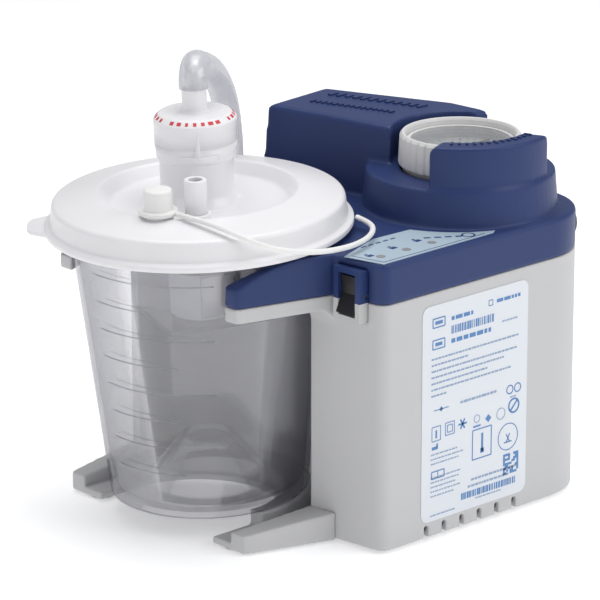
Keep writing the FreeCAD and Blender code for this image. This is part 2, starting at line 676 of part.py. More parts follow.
def make_top_cover():
    """The blue cover: band and arms, the knob's pedestal with its shroud, and the raised ridge."""
    body = new_body("top_cover")
    band = pad(body, housing_plan("0", "cradle_radius"), "split", "deck")
    rounded(body, band, level_edges(band, "deck"), 1.8)
    for plan in arm_plans():
        pad(body, plan, "split", "deck")
    side_cut(body, [("arm_tip_x - 8", "arm_tip_top"), ("arm_tip_x", "arm_tip_top", "0 - 75"),
                    ("arm_root_x", "deck"), ("arm_root_x", "deck + 4"),
                    ("arm_tip_x - 8", "deck + 4")], "0 - 90", "90")
    rounded(body, body.Tip, upright_edges(body.Tip, arm_tips(), 2.5), 1.2)
    round_loft(body, "AdditiveLoft", "pedestal_radius", "deck", "ledge_radius", "ledge",
               "knob_x", "knob_y")
    ridge = loft(body, "AdditiveLoft", RIDGE_FOOT, "deck", RIDGE_TOP, "ridge_top")
    rounded(body, ridge, level_edges(ridge, "ridge_top"), 2.5)
    shroud = [on_ring("shroud_radius", "shroud_left", "shroud_radius"),
              on_ring("shroud_radius", "shroud_right"),
              on_ring("shroud_inner", "shroud_right", "0 - shroud_inner"),
              on_ring("shroud_inner", "shroud_left")]
    pad(body, shroud, "ledge - 2", "shroud_top")
    drill(body, "knob_radius + 3.4", "ledge", "ridge_top + 1", "knob_x", "knob_y")
    # the drill above also opens the shroud's inner wall, so the shroud is put back over it
    wall = pad(body, shroud, "ledge - 2", "shroud_top")
    middle = "(shroud_radius + shroud_inner) / 2"
    ends = [on_ring(middle, side) for side in ("shroud_left", "shroud_right")]
    rounded(body, wall, edges_near(wall, [(val(x), val(y), val("shroud_top")) for x, y in ends]),
            "shroud_corner")
    cut(body, housing_plan("wall", "cradle_radius + wall", "front_far + 7"), "split",
        "deck - wall")
    drill(body, "pedestal_radius - wall - 2", "deck - wall - 1", "ledge - wall", "knob_x", "knob_y")
    drill(body, "knob_radius - 1.2", "ledge - wall - 1", "ledge + 1", "knob_x", "knob_y")
    loft(body, "SubtractiveLoft", RIDGE_HOLLOW_FOOT, "deck - wall - 1", RIDGE_HOLLOW_TOP,
         "ridge_top - wall")
    for x, y in BOSSES:
        disc(body, "4", "split", "deck - 1", x, y)
        drill(body, "1.5", "split", "split + 8", x, y)
    for number in range(3):
        drill(body, "led_radius", "deck - wall - 1", "deck + 1", "led_x + led_pitch * %d" % number,
              "led_y")
    drill(body, "3", "deck - wall - 1", "deck + 1", "nipple_x", "nipple_y")
    front_window(body, "split - 1", "switch_high")
    for radius, seat in (("jack_radius", "jack_seat - 6"), ("jack_radius + 2.02", "jack_seat")):
        hole = sketch_on(body, "YZ_Plane")
        turn = Rotation(Vector(0, 1, 0), SIZES["jack_turn"])
        corner = Vector(val("near_side + rear_corner"), val("jack_z"), val("rear - rear_corner"))
        out = turn.multVec(Vector(0, 0, val(seat)))
        hole.AttachmentOffset = Placement(corner.add(out), turn)
        hole.setExpression("AttachmentOffset.Base.z", None)
        feature(body, "Pocket", ring(hole, radius), Length="12", Reversed=True)
    return place(body)


def make_tray():
    """The grey foot under the canister: two prongs with a low floor and an outer rib, cut to
    fit the housing's front."""
    body = new_body("tray_blank")
    pieces.remove(body)
    tip = "tray_tip_x"
    open_half = "tray_opening"
    back = "front_near + 24"
    plan = [(tip, open_half), ("0", open_half, "0 - tray_opening * 1.002"),
            ("0", "0 - %s" % open_half), (tip, "0 - %s" % open_half),
            (tip, "0 - tray_tip_y + 1"), ("tray_tip_x + 1.5", "0 - tray_tip_y"),
            ("front_near + 1", "0 - tray_root_y"), (back, "0 - tray_root_y"), (back, "far_side"),
            ("front_near + 1", "far_side"), ("tray_tip_x + 1.5", "tray_tip_y"),
            (tip, "tray_tip_y - 1")]
    pad(body, plan, "tray_foot", "tray_foot + tray_floor")
    rib = "tray_rib"
    for sign in ("0 - ", ""):
        root = "tray_root_y" if sign else "far_side"
        pad(body, [(tip, "%s(tray_tip_y - %s)" % (sign, rib)),
                   ("front_near + 12", "%s(%s - %s - 4)" % (sign, root, rib)),
                   ("front_near + 12", "%s(%s)" % (sign, root)),
                   ("front_near + 1", "%s(%s)" % (sign, root)),
                   ("tray_tip_x + 1.5", "%stray_tip_y" % sign),
                   (tip, "%s(tray_tip_y - 1)" % sign)], "tray_foot", "tray_high + 6")
    side_cut(body, [("tray_tip_x - 5", "tray_low - 0.4"), ("front_near + 13", "tray_high + 2.4"),
                    ("front_near + 13", "tray_high + 10"), ("tray_tip_x - 5", "tray_high + 10")],
             "0 - 90", "90")
    for y in ("0 - foot_front_y", "foot_front_y"):
        drill(body, "foot_radius - 1", "tray_foot - 0.5", "tray_foot + 1", "foot_front_x", y)
    # a raised seat under the back of the canister's foot ring, cut to the canister's lean
    lean_cut = block("0 - 90", "0 - 90", "jar_foot", "180", "180", "40")
    lean_cut.Placement = leaning().multiply(lean_cut.Placement)
    foot_x = "(lean_pivot - jar_foot) * sin(lean_angle)"
    seat = less(rod("jar_foot_radius + 1.6", "16", foot_x, "0", "tray_foot + 1"),
                rod("tray_opening", "30"), block("0 - 60", "0 - 60", "0", "56", "120", "40"),
                lean_cut)
    envelope = new_body("housing_envelope")
    pieces.remove(envelope)
    pad(envelope, housing_plan("0", "cradle_radius"), "0", "split")
    keep(place(less(fused(body, seat), envelope)), "canister_tray")


def make_feet():
    feet = []
    for y in ("foot_near_y", "foot_far_y"):
        feet.append(rod("foot_radius", "housing_foot + 1.5", "foot_rear_x", y))
    for y in ("0 - foot_front_y", "foot_front_y"):
        feet.append(rod("foot_radius - 1", "tray_foot + 1", "foot_front_x", y))
    group("rubber_feet", feet)


def make_outside_fittings():
    """Stickers, lamps, switch, power inlet and the hose nipple."""
    panel = new_body("control_panel_label")
    pad(panel, [(14.9, -75.1), (19.4, -94.2), (85.8, -93.1), (88.9, -91.2, -46), (63.1, -65.4),
                (41.5, -64.8)], "deck", "deck + 0.3")
    for number in range(3):
        drill(panel, "led_radius", "deck - 1", "deck + 1", "led_x + led_pitch * %d" % number, "led_y")
    place(panel)
    rating = new_body("rating_label")
    sketch = outline(sketch_on(rating, "XZ_Plane", "0 - near_side"),
                     [("label_left", "label_low"), ("label_right", "label_low"),
                      ("label_right", "label_high"), ("label_left", "label_high")])
    feature(rating, "Pad", sketch, Length="0.3")
    corners = edges_near(rating.Tip, [(val(x), val("near_side") - 0.15, val(z))
                                      for x in ("label_left", "label_right")
                                      for z in ("label_low", "label_high")], 0.5)
    rounded(rating, rating.Tip, corners, 4)
    place(rating)
    lamps = [rod("led_radius - 0.05", "4", "led_x + led_pitch * %d" % number, "led_y", "deck - 3.5")
             for number in range(3)]
    group("status_lamps", lamps)


def make_switch():
    """The switch's frame in the window, the rocker with its pin, and the contact block behind."""
    frame = new_body("switch_frame")
    gap = "0.02"
    half = "(switch_half - %s)" % gap
    sketch = outline(sketch_on(frame, "YZ_Plane", "front_far - 1"),
                     [("switch_y - %s" % half, "switch_low + %s" % gap),
                      ("switch_y + %s" % half, "switch_low + %s" % gap),
                      ("switch_y + %s" % half, "switch_high - %s" % gap),
                      ("switch_y - %s" % half, "switch_high - %s" % gap)])
    feature(frame, "Pad", sketch, Length="9")
    inner = outline(sketch_on(frame, "YZ_Plane", "front_far - 2"),
                    [("switch_y - rocker_half - 0.3", "switch_low + 2.2"),
                     ("switch_y + rocker_half + 0.3", "switch_low + 2.2"),
                     ("switch_y + rocker_half + 0.3", "switch_high - 2.2"),
                     ("switch_y - rocker_half - 0.3", "switch_high - 2.2")])
    feature(frame, "Pocket", inner, Length="9", Reversed=True)
    bore = ring(sketch_on(frame, "XZ_Plane", "0 - switch_y - switch_half - 1"), "1.1",
                "front_far + 3", "rocker_z")
    feature(frame, "Pocket", bore, Length="switch_half * 2 + 2", Reversed=True)
    # the contact block behind the frame is moulded in one with it
    back = outline(sketch_on(frame, "YZ_Plane", "front_far + 8"),
                   [("switch_y - 6", "rocker_z - 10"), ("switch_y + 6", "rocker_z - 10"),
                    ("switch_y + 6", "rocker_z + 10"), ("switch_y - 6", "rocker_z + 10")])
    feature(frame, "Pad", back, Length="12")
    place(frame)
    rocker = new_body("power_rocker")
    # seen from the side: a shallow V whose lower half stands out of the frame
    side = outline(sketch_on(rocker, "XZ_Plane", "0 - switch_y - rocker_half"),
                   [("front_far + 0.4", "rocker_z + rocker_reach"),
                    ("front_far + 1.2", "rocker_z"),
                    ("front_far - 2.6", "rocker_z - rocker_reach"),
                    ("front_far + 2.2", "rocker_z - rocker_reach - 0.4"),
                    ("front_far + 6", "rocker_z - 2"), ("front_far + 6", "rocker_z + 2"),
                    ("front_far + 4.4", "rocker_z + rocker_reach")])
    feature(rocker, "Pad", side, Length="rocker_half * 2")
    bore = ring(sketch_on(rocker, "XZ_Plane", "0 - switch_y - switch_half - 1"), "1.15",
                "front_far + 3", "rocker_z")
    feature(rocker, "Pocket", bore, Length="switch_half * 2 + 2", Reversed=True)
    place(rocker)
    keep(place(rod("1.1", "switch_half * 2 - 1", "front_far + 3", "switch_y - switch_half + 0.5",
                   "rocker_z", along="y")), "rocker_pin")


def make_inlet_and_nipple():
    # drawn along +X from the corner's centre, then swung to the corner's outward direction
    jack = fused(less(fused(rod("jack_radius + 2", "2.4", "jack_seat", along="x"),
                            rod("jack_radius - 0.02", "9", "jack_seat - 9", along="x")),
                      rod("2.75", "12", "jack_seat - 7", along="x")),
                 rod("1", "7.5", "jack_seat - 8", along="x"))
    keep(place(jack, "rear - rear_corner", "near_side + rear_corner", "jack_z",
               angle=SIZES["jack_turn"]), "power_inlet")
    nipple = new_body("hose_nipple")
    spin(nipple, [("1.8", "deck - 12"), ("3", "deck - 12"), ("3", "deck"), ("6.5", "deck"),
                  ("6.5", "deck + 0.8"), ("5.2", "deck + 1.2"), ("5.2", "131.5"), ("1.8", "131.5")])
    place(nipple, "nipple_x", "nipple_y")


def make_knob_and_gauge():
    """The ring knob round the fixed vacuum gauge, and the regulator that the knob drives."""
    where = {"x": "knob_x", "y": "knob_y"}
    knob = turned("regulator_knob", [
        ("6", "knob_foot - 12"), ("9", "knob_foot - 12"), ("9", "knob_foot - 7.5"),
        ("knob_bore + 1.5", "knob_foot - 7.5"), ("knob_bore + 1.5", "knob_foot"),
        ("knob_radius - 0.6", "knob_foot"), ("knob_radius", "knob_foot + 1"),
        ("knob_radius - 0.8", "knob_top - 1"), ("knob_radius - 1.6", "knob_top"),
        ("knob_bore + 0.9", "knob_top"), ("knob_bore", "knob_top - 1.2"),
        ("knob_bore", "knob_foot - 5"), ("6", "knob_foot - 5")], **where)
    # grip flutes: one is cut and then repeated round the knob
    flute = ring(sketch_on(knob, "XY_Plane", "knob_foot - 1"), "1.6", "knob_radius + 1", "0")
    one = feature(knob, "Pocket", flute, Length="knob_top - knob_foot + 2", Reversed=True)
    turns = knob.newObject("PartDesign::PolarPattern", "flutes")
    turns.Originals = [one]
    turns.Axis = (flute, ["N_Axis"])
    turns.Angle = 360
    turns.Occurrences = 30
    knob.Tip = turns
    doc.recompute()
    # the fixed gauge: a cup on a stem, the bent tube inside, dial, needle and lens
    turned("gauge_case", [("2", "knob_foot - 44"), ("4", "knob_foot - 44"),
                          ("4", "knob_foot - 4.6"), ("gauge_radius", "knob_foot - 4.6"),
                          ("gauge_radius", "gauge_top"), ("gauge_radius - 1.5", "gauge_top"),
                          ("gauge_radius - 1.5", "knob_foot - 2.6"), ("7", "knob_foot - 2.6"),
                          ("7", "gauge_top - 6.5"), ("1.3", "gauge_top - 6.5"),
                          ("1.3", "gauge_top - 3.6"), ("0", "gauge_top - 3.6"),
                          ("0", "gauge_top - 8"), ("2", "gauge_top - 8")], **where)
    coil = doc.addObject("Part::Torus", "coil")
    bind(coil, "Radius1", "gauge_radius - 9")
    bind(coil, "Radius2", "1.6")
    coil.Angle3 = 270
    keep(place(coil, "knob_x", "knob_y", "knob_foot - 0.9"), "bourdon_tube")
    turned("gauge_dial", [("1.6", "gauge_top - 6.5"), ("gauge_radius - 1.5", "gauge_top - 6.5"),
                          ("gauge_radius - 1.5", "gauge_top - 5.5"), ("1.6", "gauge_top - 5.5")],
           **where)
    needle = new_body("gauge_needle")
    disc(needle, "2.2", "gauge_top - 4.4", "gauge_top - 3.2")
    pad(needle, [("0 - 6", "-0.9"), ("17", "-0.35"), ("18", "0"), ("17", "0.35"), ("0 - 6", "0.9")],
        "gauge_top - 4.2", "gauge_top - 3.6")
    drill(needle, "1.35", "gauge_top - 5", "gauge_top - 3.6")
    place(needle, "knob_x", "knob_y")
    turned("gauge_lens", [("0", "gauge_top - 1.6"), ("gauge_radius - 1.5", "gauge_top - 1.6"),
                          ("gauge_radius - 1.5", "gauge_top - 0.2"), ("0", "gauge_top - 0.2")],
           **where)
    # regulator: a cup under the deck, the threaded plunger in the knob's hub, and the spring
    turned("regulator_plunger", [("4.05", "knob_foot - 33"), ("9.5", "knob_foot - 33"),
                                 ("9.5", "knob_foot - 30.5"), ("5.9", "knob_foot - 30.5"),
                                 ("5.9", "knob_foot - 8"), ("4.05", "knob_foot - 8")], **where)
    turned("regulator_spring", [("6.2", "knob_foot - 46"), ("8.6", "knob_foot - 46"),
                                ("8.6", "knob_foot - 33"), ("6.2", "knob_foot - 33")], **where)


def make_battery():
    x, y, z = "battery_x", "battery_y", "housing_foot + wall + 1.6"
    cells = [rod("cell_radius", "cell_height", "battery_x + cell_pitch * (%d + 0.5)" % column,
                 "battery_y + cell_pitch * (%d + 0.5)" % number, z)
             for column in range(2) for number in range(5)]
    group("battery_cells", cells)
    outer = block("%s - 1" % x, "%s - 1" % y, "housing_foot + wall", "cell_pitch * 2 + 2",
                  "cell_pitch * 5 + 2", "20")
    inner = block(x, y, z, "cell_pitch * 2", "cell_pitch * 5", "30")
    keep(place(less(outer, inner)), "battery_tray")


def make_electronics():
    keep(place(block("board_x", "board_y", "housing_foot + wall + 12", "62", "1.6", "76")),
         "circuit_board")
    parts = []
    for x, z, width, height, deep in ((4, 6, 16, 18, 9), (24, 4, 10, 10, 12), (38, 6, 18, 12, 8),
                                      (6, 30, 12, 12, 3), (24, 26, 14, 8, 5), (44, 26, 10, 20, 6),
                                      (8, 52, 20, 14, 7), (34, 52, 8, 16, 10), (48, 56, 8, 8, 4)):
        parts.append(block("board_x + %d" % x, "board_y + 1.6",
                           "housing_foot + wall + 12 + %d" % z, str(width), str(deep), str(height)))
    group("board_components", parts)


def make_drive():
    """Motor, crank and diaphragm pump: the shaft lies along Y, the pump head faces -X."""
    x, z = "motor_x", "motor_z"
    front = "motor_y - motor_length / 2"
    back = "motor_y + motor_length / 2"
    case = less(fused(rod("motor_radius", "motor_length", x, front, z, "y"),
                      rod("8", "motor_length + 4", x, "%s - 2" % front, z, "y")),
                rod("motor_radius - 1.6", "motor_length - 4", x, "%s + 2" % front, z, "y"),
                rod("5", "motor_length + 8", x, "%s - 4" % front, z, "y"))
    keep(place(case), "motor_case")
    armature = less(rod("11.6", "motor_length - 14", x, "%s + 7" % front, z, "y"),
                    rod("shaft_radius", "motor_length", x, front, z, "y"))
    keep(place(armature), "motor_armature")
    keep(place(rod("shaft_radius", "motor_length + 26", x, "%s - 24" % front, z, "y")),
         "motor_shaft")
    bearings = [less(rod("5", "4", x, start, z, "y"),
                     rod("shaft_radius + 0.05", "6", x, "%s - 1" % start, z, "y"))
                for start in ("%s - 2" % front, "%s - 2" % back)]
    group("motor_bearings", bearings)
    # crank: an eccentric on the shaft, its bearing and the rod, whose end grips the diaphragm
    crank_x = "motor_x - throw"
    keep(place(less(rod("6", "10", crank_x, "crank_y - 5", z, "y"),
                    rod("shaft_radius", "12", x, "crank_y - 6", z, "y"))), "eccentric")
    keep(place(less(rod("9", "8", crank_x, "crank_y - 4", z, "y"),
                    rod("6.05", "10", crank_x, "crank_y - 5", z, "y"))), "crank_bearing")
    arm = block("diaphragm_x + 3.5", "crank_y - 3", "%s - 4" % z, "20", "6", "8")
    foot = rod("9", "2", "diaphragm_x + 2", "crank_y", z, "x")
    screw = rod("2", "2", "diaphragm_x", "crank_y", z, "x")
    conrod = less(fused(rod("13", "8", crank_x, "crank_y - 4", z, "y"), arm, foot, screw),
                  rod("9", "10", crank_x, "crank_y - 5", z, "y"))
    keep(place(conrod), "connecting_rod")
    keep(place(rod("9", "2", "diaphragm_x - 2", "crank_y", z, "x")), "diaphragm_clamp")

    bolts = [(math.cos(math.radians(angle)) * 17, math.sin(math.radians(angle)) * 17)
             for angle in (45, 135, 225, 315)]

    def bolt_holes(start, length):
        return [rod("1.25", length, start, "crank_y + %.4f" % y, "%s + %.4f" % (z, up), "x")
                for y, up in bolts]
    keep(place(less(rod("20", "2", "diaphragm_x", "crank_y", z, "x"),
                    rod("2", "4", "diaphragm_x - 1", "crank_y", z, "x"),
                    *bolt_holes("diaphragm_x - 1", "4"))), "diaphragm")
    box_front = "diaphragm_x + 2"
    crankcase = less(fused(block(box_front, "crank_y - 14", "%s - 21" % z, "52", "30", "42"),
                           rod("20", "3", box_front, "crank_y", z, "x")),
                     block("%s + 3" % box_front, "crank_y - 11", "%s - 18" % z, "46", "24", "36"),
                     rod("15", "6", "%s - 1" % box_front, "crank_y", z, "x"),
                     rod("8", "8", x, "crank_y + 11", z, "y"),
                     *bolt_holes("%s - 1" % box_front, "5"))
    keep(place(crankcase), "crankcase")
    low, high = "%s - 8" % z, "%s + 8" % z
    plate = less(rod("20", "6", "diaphragm_x - 6", "crank_y", z, "x"),
                 rod("14", "3", "diaphragm_x - 2.5", "crank_y", z, "x"),
                 rod("2.2", "8", "diaphragm_x - 7", "crank_y", low, "x"),
                 rod("2.2", "8", "diaphragm_x - 7", "crank_y", high, "x"),
                 *bolt_holes("diaphragm_x - 7", "8"))
    keep(place(plate), "valve_plate")
    group("reed_valves", [rod("3.2", "0.3", "diaphragm_x - 2.5", "crank_y", high, "x"),
                          rod("3.2", "0.3", "diaphragm_x - 6.3", "crank_y", low, "x")])
    head = less(fused(rod("20", "12", "diaphragm_x - 18", "crank_y", z, "x"),
                      rod("3", "10", "diaphragm_x - 12", "crank_y", "%s + 18" % z),
                      rod("3", "10", "diaphragm_x - 12", "crank_y - 28", low, "y")),
                rod("6", "10", "diaphragm_x - 15", "crank_y", low, "x"),
                rod("6", "10", "diaphragm_x - 15", "crank_y", high, "x"),
                rod("1.8", "20", "diaphragm_x - 12", "crank_y", high),
                rod("1.8", "30", "diaphragm_x - 12", "crank_y - 29", low, "y"),
                *bolt_holes("diaphragm_x - 19", "14"))
    keep(place(head), "pump_head")
    group("head_screws", [fused(rod("1.25", "23", "diaphragm_x - 18", "crank_y + %.4f" % y,
                                    "%s + %.4f" % (z, up), "x"),
                                rod("2.4", "1.8", "diaphragm_x - 19.8", "crank_y + %.4f" % y,
                                    "%s + %.4f" % (z, up), "x")) for y, up in bolts])
    # sheet bracket over the battery, rubber isolators on it, and the motor's saddle
    top = "(motor_z - 24)"
    floor = "(housing_foot + wall)"
    sheet_thick = "1.5"
    bracket = fused(block("92.5", "crank_y - 22", "%s - %s" % (top, sheet_thick), "56", "74",
                          sheet_thick),
                    block("92.5", "crank_y - 22", floor, sheet_thick, "74",
                          "%s - %s" % (top, floor)),
                    block("147", "crank_y - 22", floor, sheet_thick, "74",
                          "%s - %s" % (top, floor)))
    saddle = less(block("105", "20", "%s - 1" % top, "32", "14", "12"),
                  rod("motor_radius", "20", x, "18", z, "y"))
    keep(place(fused(bracket, saddle)), "pump_bracket")
    group("rubber_isolators", [rod("4", "3", spot, "crank_y", top) for spot in (98, 134)])


def make_regulator_body():
    """Cup under the knob that meters air into the vacuum line, with a port each way."""
    z = "knob_foot - 37"
    cup = less(fused(rod("13", "28", "knob_x", "knob_y", "knob_foot - 50"),
                     rod("3", "10", "knob_x - 22", "knob_y", z, "x"),
                     rod("3", "10", "knob_x", "knob_y + 12", z, "y")),
               rod("10.5", "30", "knob_x", "knob_y", "knob_foot - 46"),
               rod("4", "6", "knob_x", "knob_y", "knob_foot - 52"),
               rod("1.8", "14", "knob_x - 23", "knob_y", z, "x"),
               rod("1.8", "14", "knob_x", "knob_y + 9", z, "y"))
    keep(place(cup), "regulator_body")


# Soft tubes inside: nipple to regulator, regulator to pump, pump to muffler.
VACUUM_TUBE = [(60.82, 46.44, 117.2), (60.82, 46.44, 105), (66, 36, 100), (80, 16, 101),
               (97, -4, 105), (108.7, -14.5, 110.5), (108.7, -28.4, 110.5)]
SUCTION_TUBE = [(86.7, -50.4, 110.5), (74, -50.4, 110.5), (70, -38, 117), (76, -24, 118),
                (76, -24, 104)]
EXHAUST_TUBE = [(76, -52, 68), (76, -66, 68), (76, -66, 52)]


def make_tubes():
    for label, route in (("vacuum_tube", VACUUM_TUBE), ("suction_tube", SUCTION_TUBE),
                         ("exhaust_tube", EXHAUST_TUBE)):
        swept(label, route, 3.4, 1.9)
    can = less(fused(rod("9", "38", "76", "-66", "8"), rod("3", "6", "76", "-66", "46")),
               rod("7.5", "34", "76", "-66", "10"), rod("1.8", "12", "76", "-66", "42"))
    keep(place(can), "exhaust_muffler")


def make_screws():
    screws = []
    for x, y in BOSSES:
        screws.append(fused(rod("1.5", "22", x, y, "96"), rod("2.5", "2.4", x, y, "93.6")))
    group("housing_screws", screws)


# ---------------------------------------------------------------- build and write

make_canister()
make_lid()
make_jar_fittings()
make_filter()
make_elbow()
swept("hose", HOSE_ROUTE, SIZES["hose_radius"])
swept("cap_tether", TETHER, SIZES["tether_radius"], lean=True)
make_lower_housing()
make_top_cover()
make_tray()
make_feet()
make_outside_fittings()
make_switch()
make_inlet_and_nipple()
make_knob_and_gauge()
make_regulator_body()
make_battery()
make_electronics()
make_drive()
make_tubes()
make_screws()
doc.recompute()

broken = [item.Name for item in doc.Objects if "Invalid" in item.State or "Error" in item.State]
if broken:
    raise RuntimeError("failed objects: %s" % broken)
for piece in pieces:
    if piece.Shape.isNull() or not piece.Shape.isValid() or not piece.Shape.Solids:
        raise RuntimeError("bad shape: " + piece.Label)

os.makedirs("parts", exist_ok=True)
for piece in pieces:
    piece.Shape.exportStep("parts/%s.step" % piece.Label)
print("wrote %d pieces" % len(pieces))
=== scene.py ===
import math
import random

import bmesh
import bpy
from mathutils import Matrix, Vector


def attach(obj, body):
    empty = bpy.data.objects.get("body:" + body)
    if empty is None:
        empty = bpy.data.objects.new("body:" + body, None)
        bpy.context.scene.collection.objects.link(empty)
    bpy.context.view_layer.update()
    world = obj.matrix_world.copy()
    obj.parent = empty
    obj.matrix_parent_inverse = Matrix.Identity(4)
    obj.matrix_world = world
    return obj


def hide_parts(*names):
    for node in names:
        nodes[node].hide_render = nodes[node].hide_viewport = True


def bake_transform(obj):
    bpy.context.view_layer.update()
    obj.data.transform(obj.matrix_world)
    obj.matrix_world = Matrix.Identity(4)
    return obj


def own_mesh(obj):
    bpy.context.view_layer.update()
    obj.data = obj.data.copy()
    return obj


# Looks of the portable suction pump. Sizes are in millimetres from the canister's axis, as in
# the CAD, and put() turns them into the frame's metres.

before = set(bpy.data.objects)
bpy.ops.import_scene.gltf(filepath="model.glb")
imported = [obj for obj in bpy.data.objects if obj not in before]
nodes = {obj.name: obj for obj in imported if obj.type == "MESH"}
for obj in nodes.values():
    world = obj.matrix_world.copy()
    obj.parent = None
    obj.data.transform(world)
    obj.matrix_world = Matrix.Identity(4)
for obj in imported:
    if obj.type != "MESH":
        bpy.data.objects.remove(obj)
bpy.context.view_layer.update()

AXIS = Vector((-44.4, 14.85, 0))
PIVOT = 140
LEAN = math.radians(2.4)
UPRIGHT = Matrix.Translation(AXIS)
LEANED = (Matrix.Translation(AXIS) @ Matrix.Translation((0, 0, PIVOT))
          @ Matrix.Rotation(LEAN, 4, Vector((0, -1, 0))) @ Matrix.Translation((0, 0, -PIVOT)))
KNOB = Vector((108.7, -50.4, 0))

# heights and radii that several pieces share
FOOT, RIM, BEAD, FLOOR_THICK = 11.2, 137, 3, 4
TOP = RIM + 1.5
NECK_TOP, NECK_BORE = 161.7, 13.5
FILTER_SPLIT, FILTER_TOP, FILTER_RADIUS = 168.7, 181.1, 17.9
STEM_TOP, STEM_BORE = 191.5, 3.2
PORT, CAPPED = (-24.5, -26.5), (-36.5, -16.2)
PORT_RADIUS, PORT_BORE, PORT_FOOT_RADIUS, PORT_FOOT_TOP = 4.8, 3, 6.3, 147.3
PORT_TOP, CAPPED_TOP, CAP_LOW, CAP_TOP = 162, 153, 147.5, 158.5
KNOB_TOP, KNOB_REST, KNOB_STEP = 161.7, 140, 147.5
SPLIT = 111.3
DECK = 129.5
RIDGE_TOP = 162.7
SHROUD_TOP = 164.8
DIAL_TOP = 153
LABEL_FACE = -96.4

# print: how far a mark stands up
MARK = 0.1
FILM_MARK = 0.06

# light
AMBIENT = 0.38
KEY_POWER = 4.9
TOP_POWER = 10
SIDE_POWER = 1.3
FLOOR_GLOW = 0.32

# the camera: where it stands, how it is turned and how it frames
CAMERA_SPOT = (-1140.04, -1278.51, 632.95)
CAMERA_RIGHT = (0.7292, -0.6843, 0)
CAMERA_BACK = (-0.6528, -0.6956, 0.3)
SENSOR, LENS, SHIFT_UP = 36, 248.98, 0.0072


def put(x, y, z):
    """A point from the canister's axis, in the frame's metres."""
    return (Vector((x, y, z)) + AXIS) * 0.001


# ---------------------------------------------------------------- materials

def linear(red, green, blue):
    def one(level):
        level = level / 255
        return level / 12.92 if level <= 0.04045 else ((level + 0.055) / 1.055) ** 2.4
    return (one(red), one(green), one(blue), 1)


def shader(name):
    made = bpy.data.materials.new(name)
    made.use_nodes = True
    return made, made.node_tree, made.node_tree.nodes["Principled BSDF"]


def node(tree, kind, **values):
    item = tree.nodes.new(kind)
    for key, value in values.items():
        if hasattr(item, key):
            setattr(item, key, value)
        else:
            item.inputs[key.replace("_", " ")].default_value = value
    return item


def plastic(name, colour, rough=0.4, grain=3000, depth=0.04, mottle=0.05, coat=0.0, sheen=0.5):
    """Moulded plastic: a fine texture, slight colour variation and uneven gloss."""
    made, tree, main = shader(name)
    place = node(tree, "ShaderNodeTexCoord")
    fine = node(tree, "ShaderNodeTexNoise", Scale=grain, Detail=3.0)
    broad = node(tree, "ShaderNodeTexNoise", Scale=35.0, Detail=2.0)
    tree.links.new(place.outputs["Object"], fine.inputs["Vector"])
    tree.links.new(place.outputs["Object"], broad.inputs["Vector"])
    tint = node(tree, "ShaderNodeMixRGB", blend_type="MULTIPLY")
    tint.inputs["Color1"].default_value = linear(*colour)
    ramp = node(tree, "ShaderNodeMapRange")
    ramp.inputs["To Min"].default_value = 1 - mottle
    ramp.inputs["To Max"].default_value = 1 + mottle
    tree.links.new(broad.outputs["Fac"], ramp.inputs["Value"])
    tint.inputs["Fac"].default_value = 1
    tree.links.new(ramp.outputs["Result"], tint.inputs["Color2"])
    tree.links.new(tint.outputs["Color"], main.inputs["Base Color"])
    gloss = node(tree, "ShaderNodeMapRange")
    gloss.inputs["To Min"].default_value = rough - 0.05
    gloss.inputs["To Max"].default_value = rough + 0.05
    tree.links.new(broad.outputs["Fac"], gloss.inputs["Value"])
    tree.links.new(gloss.outputs["Result"], main.inputs["Roughness"])
    bump = node(tree, "ShaderNodeBump", Strength=depth, Distance=0.0002)
    tree.links.new(fine.outputs["Fac"], bump.inputs["Height"])
    tree.links.new(bump.outputs["Normal"], main.inputs["Normal"])
    main.inputs["Specular IOR Level"].default_value = sheen
    main.inputs["Coat Weight"].default_value = coat
    return made


def metal(name, colour, rough=0.3):
    made = plastic(name, colour, rough, grain=1500, depth=0.06)
    made.node_tree.nodes["Principled BSDF"].inputs["Metallic"].default_value = 1
    return made


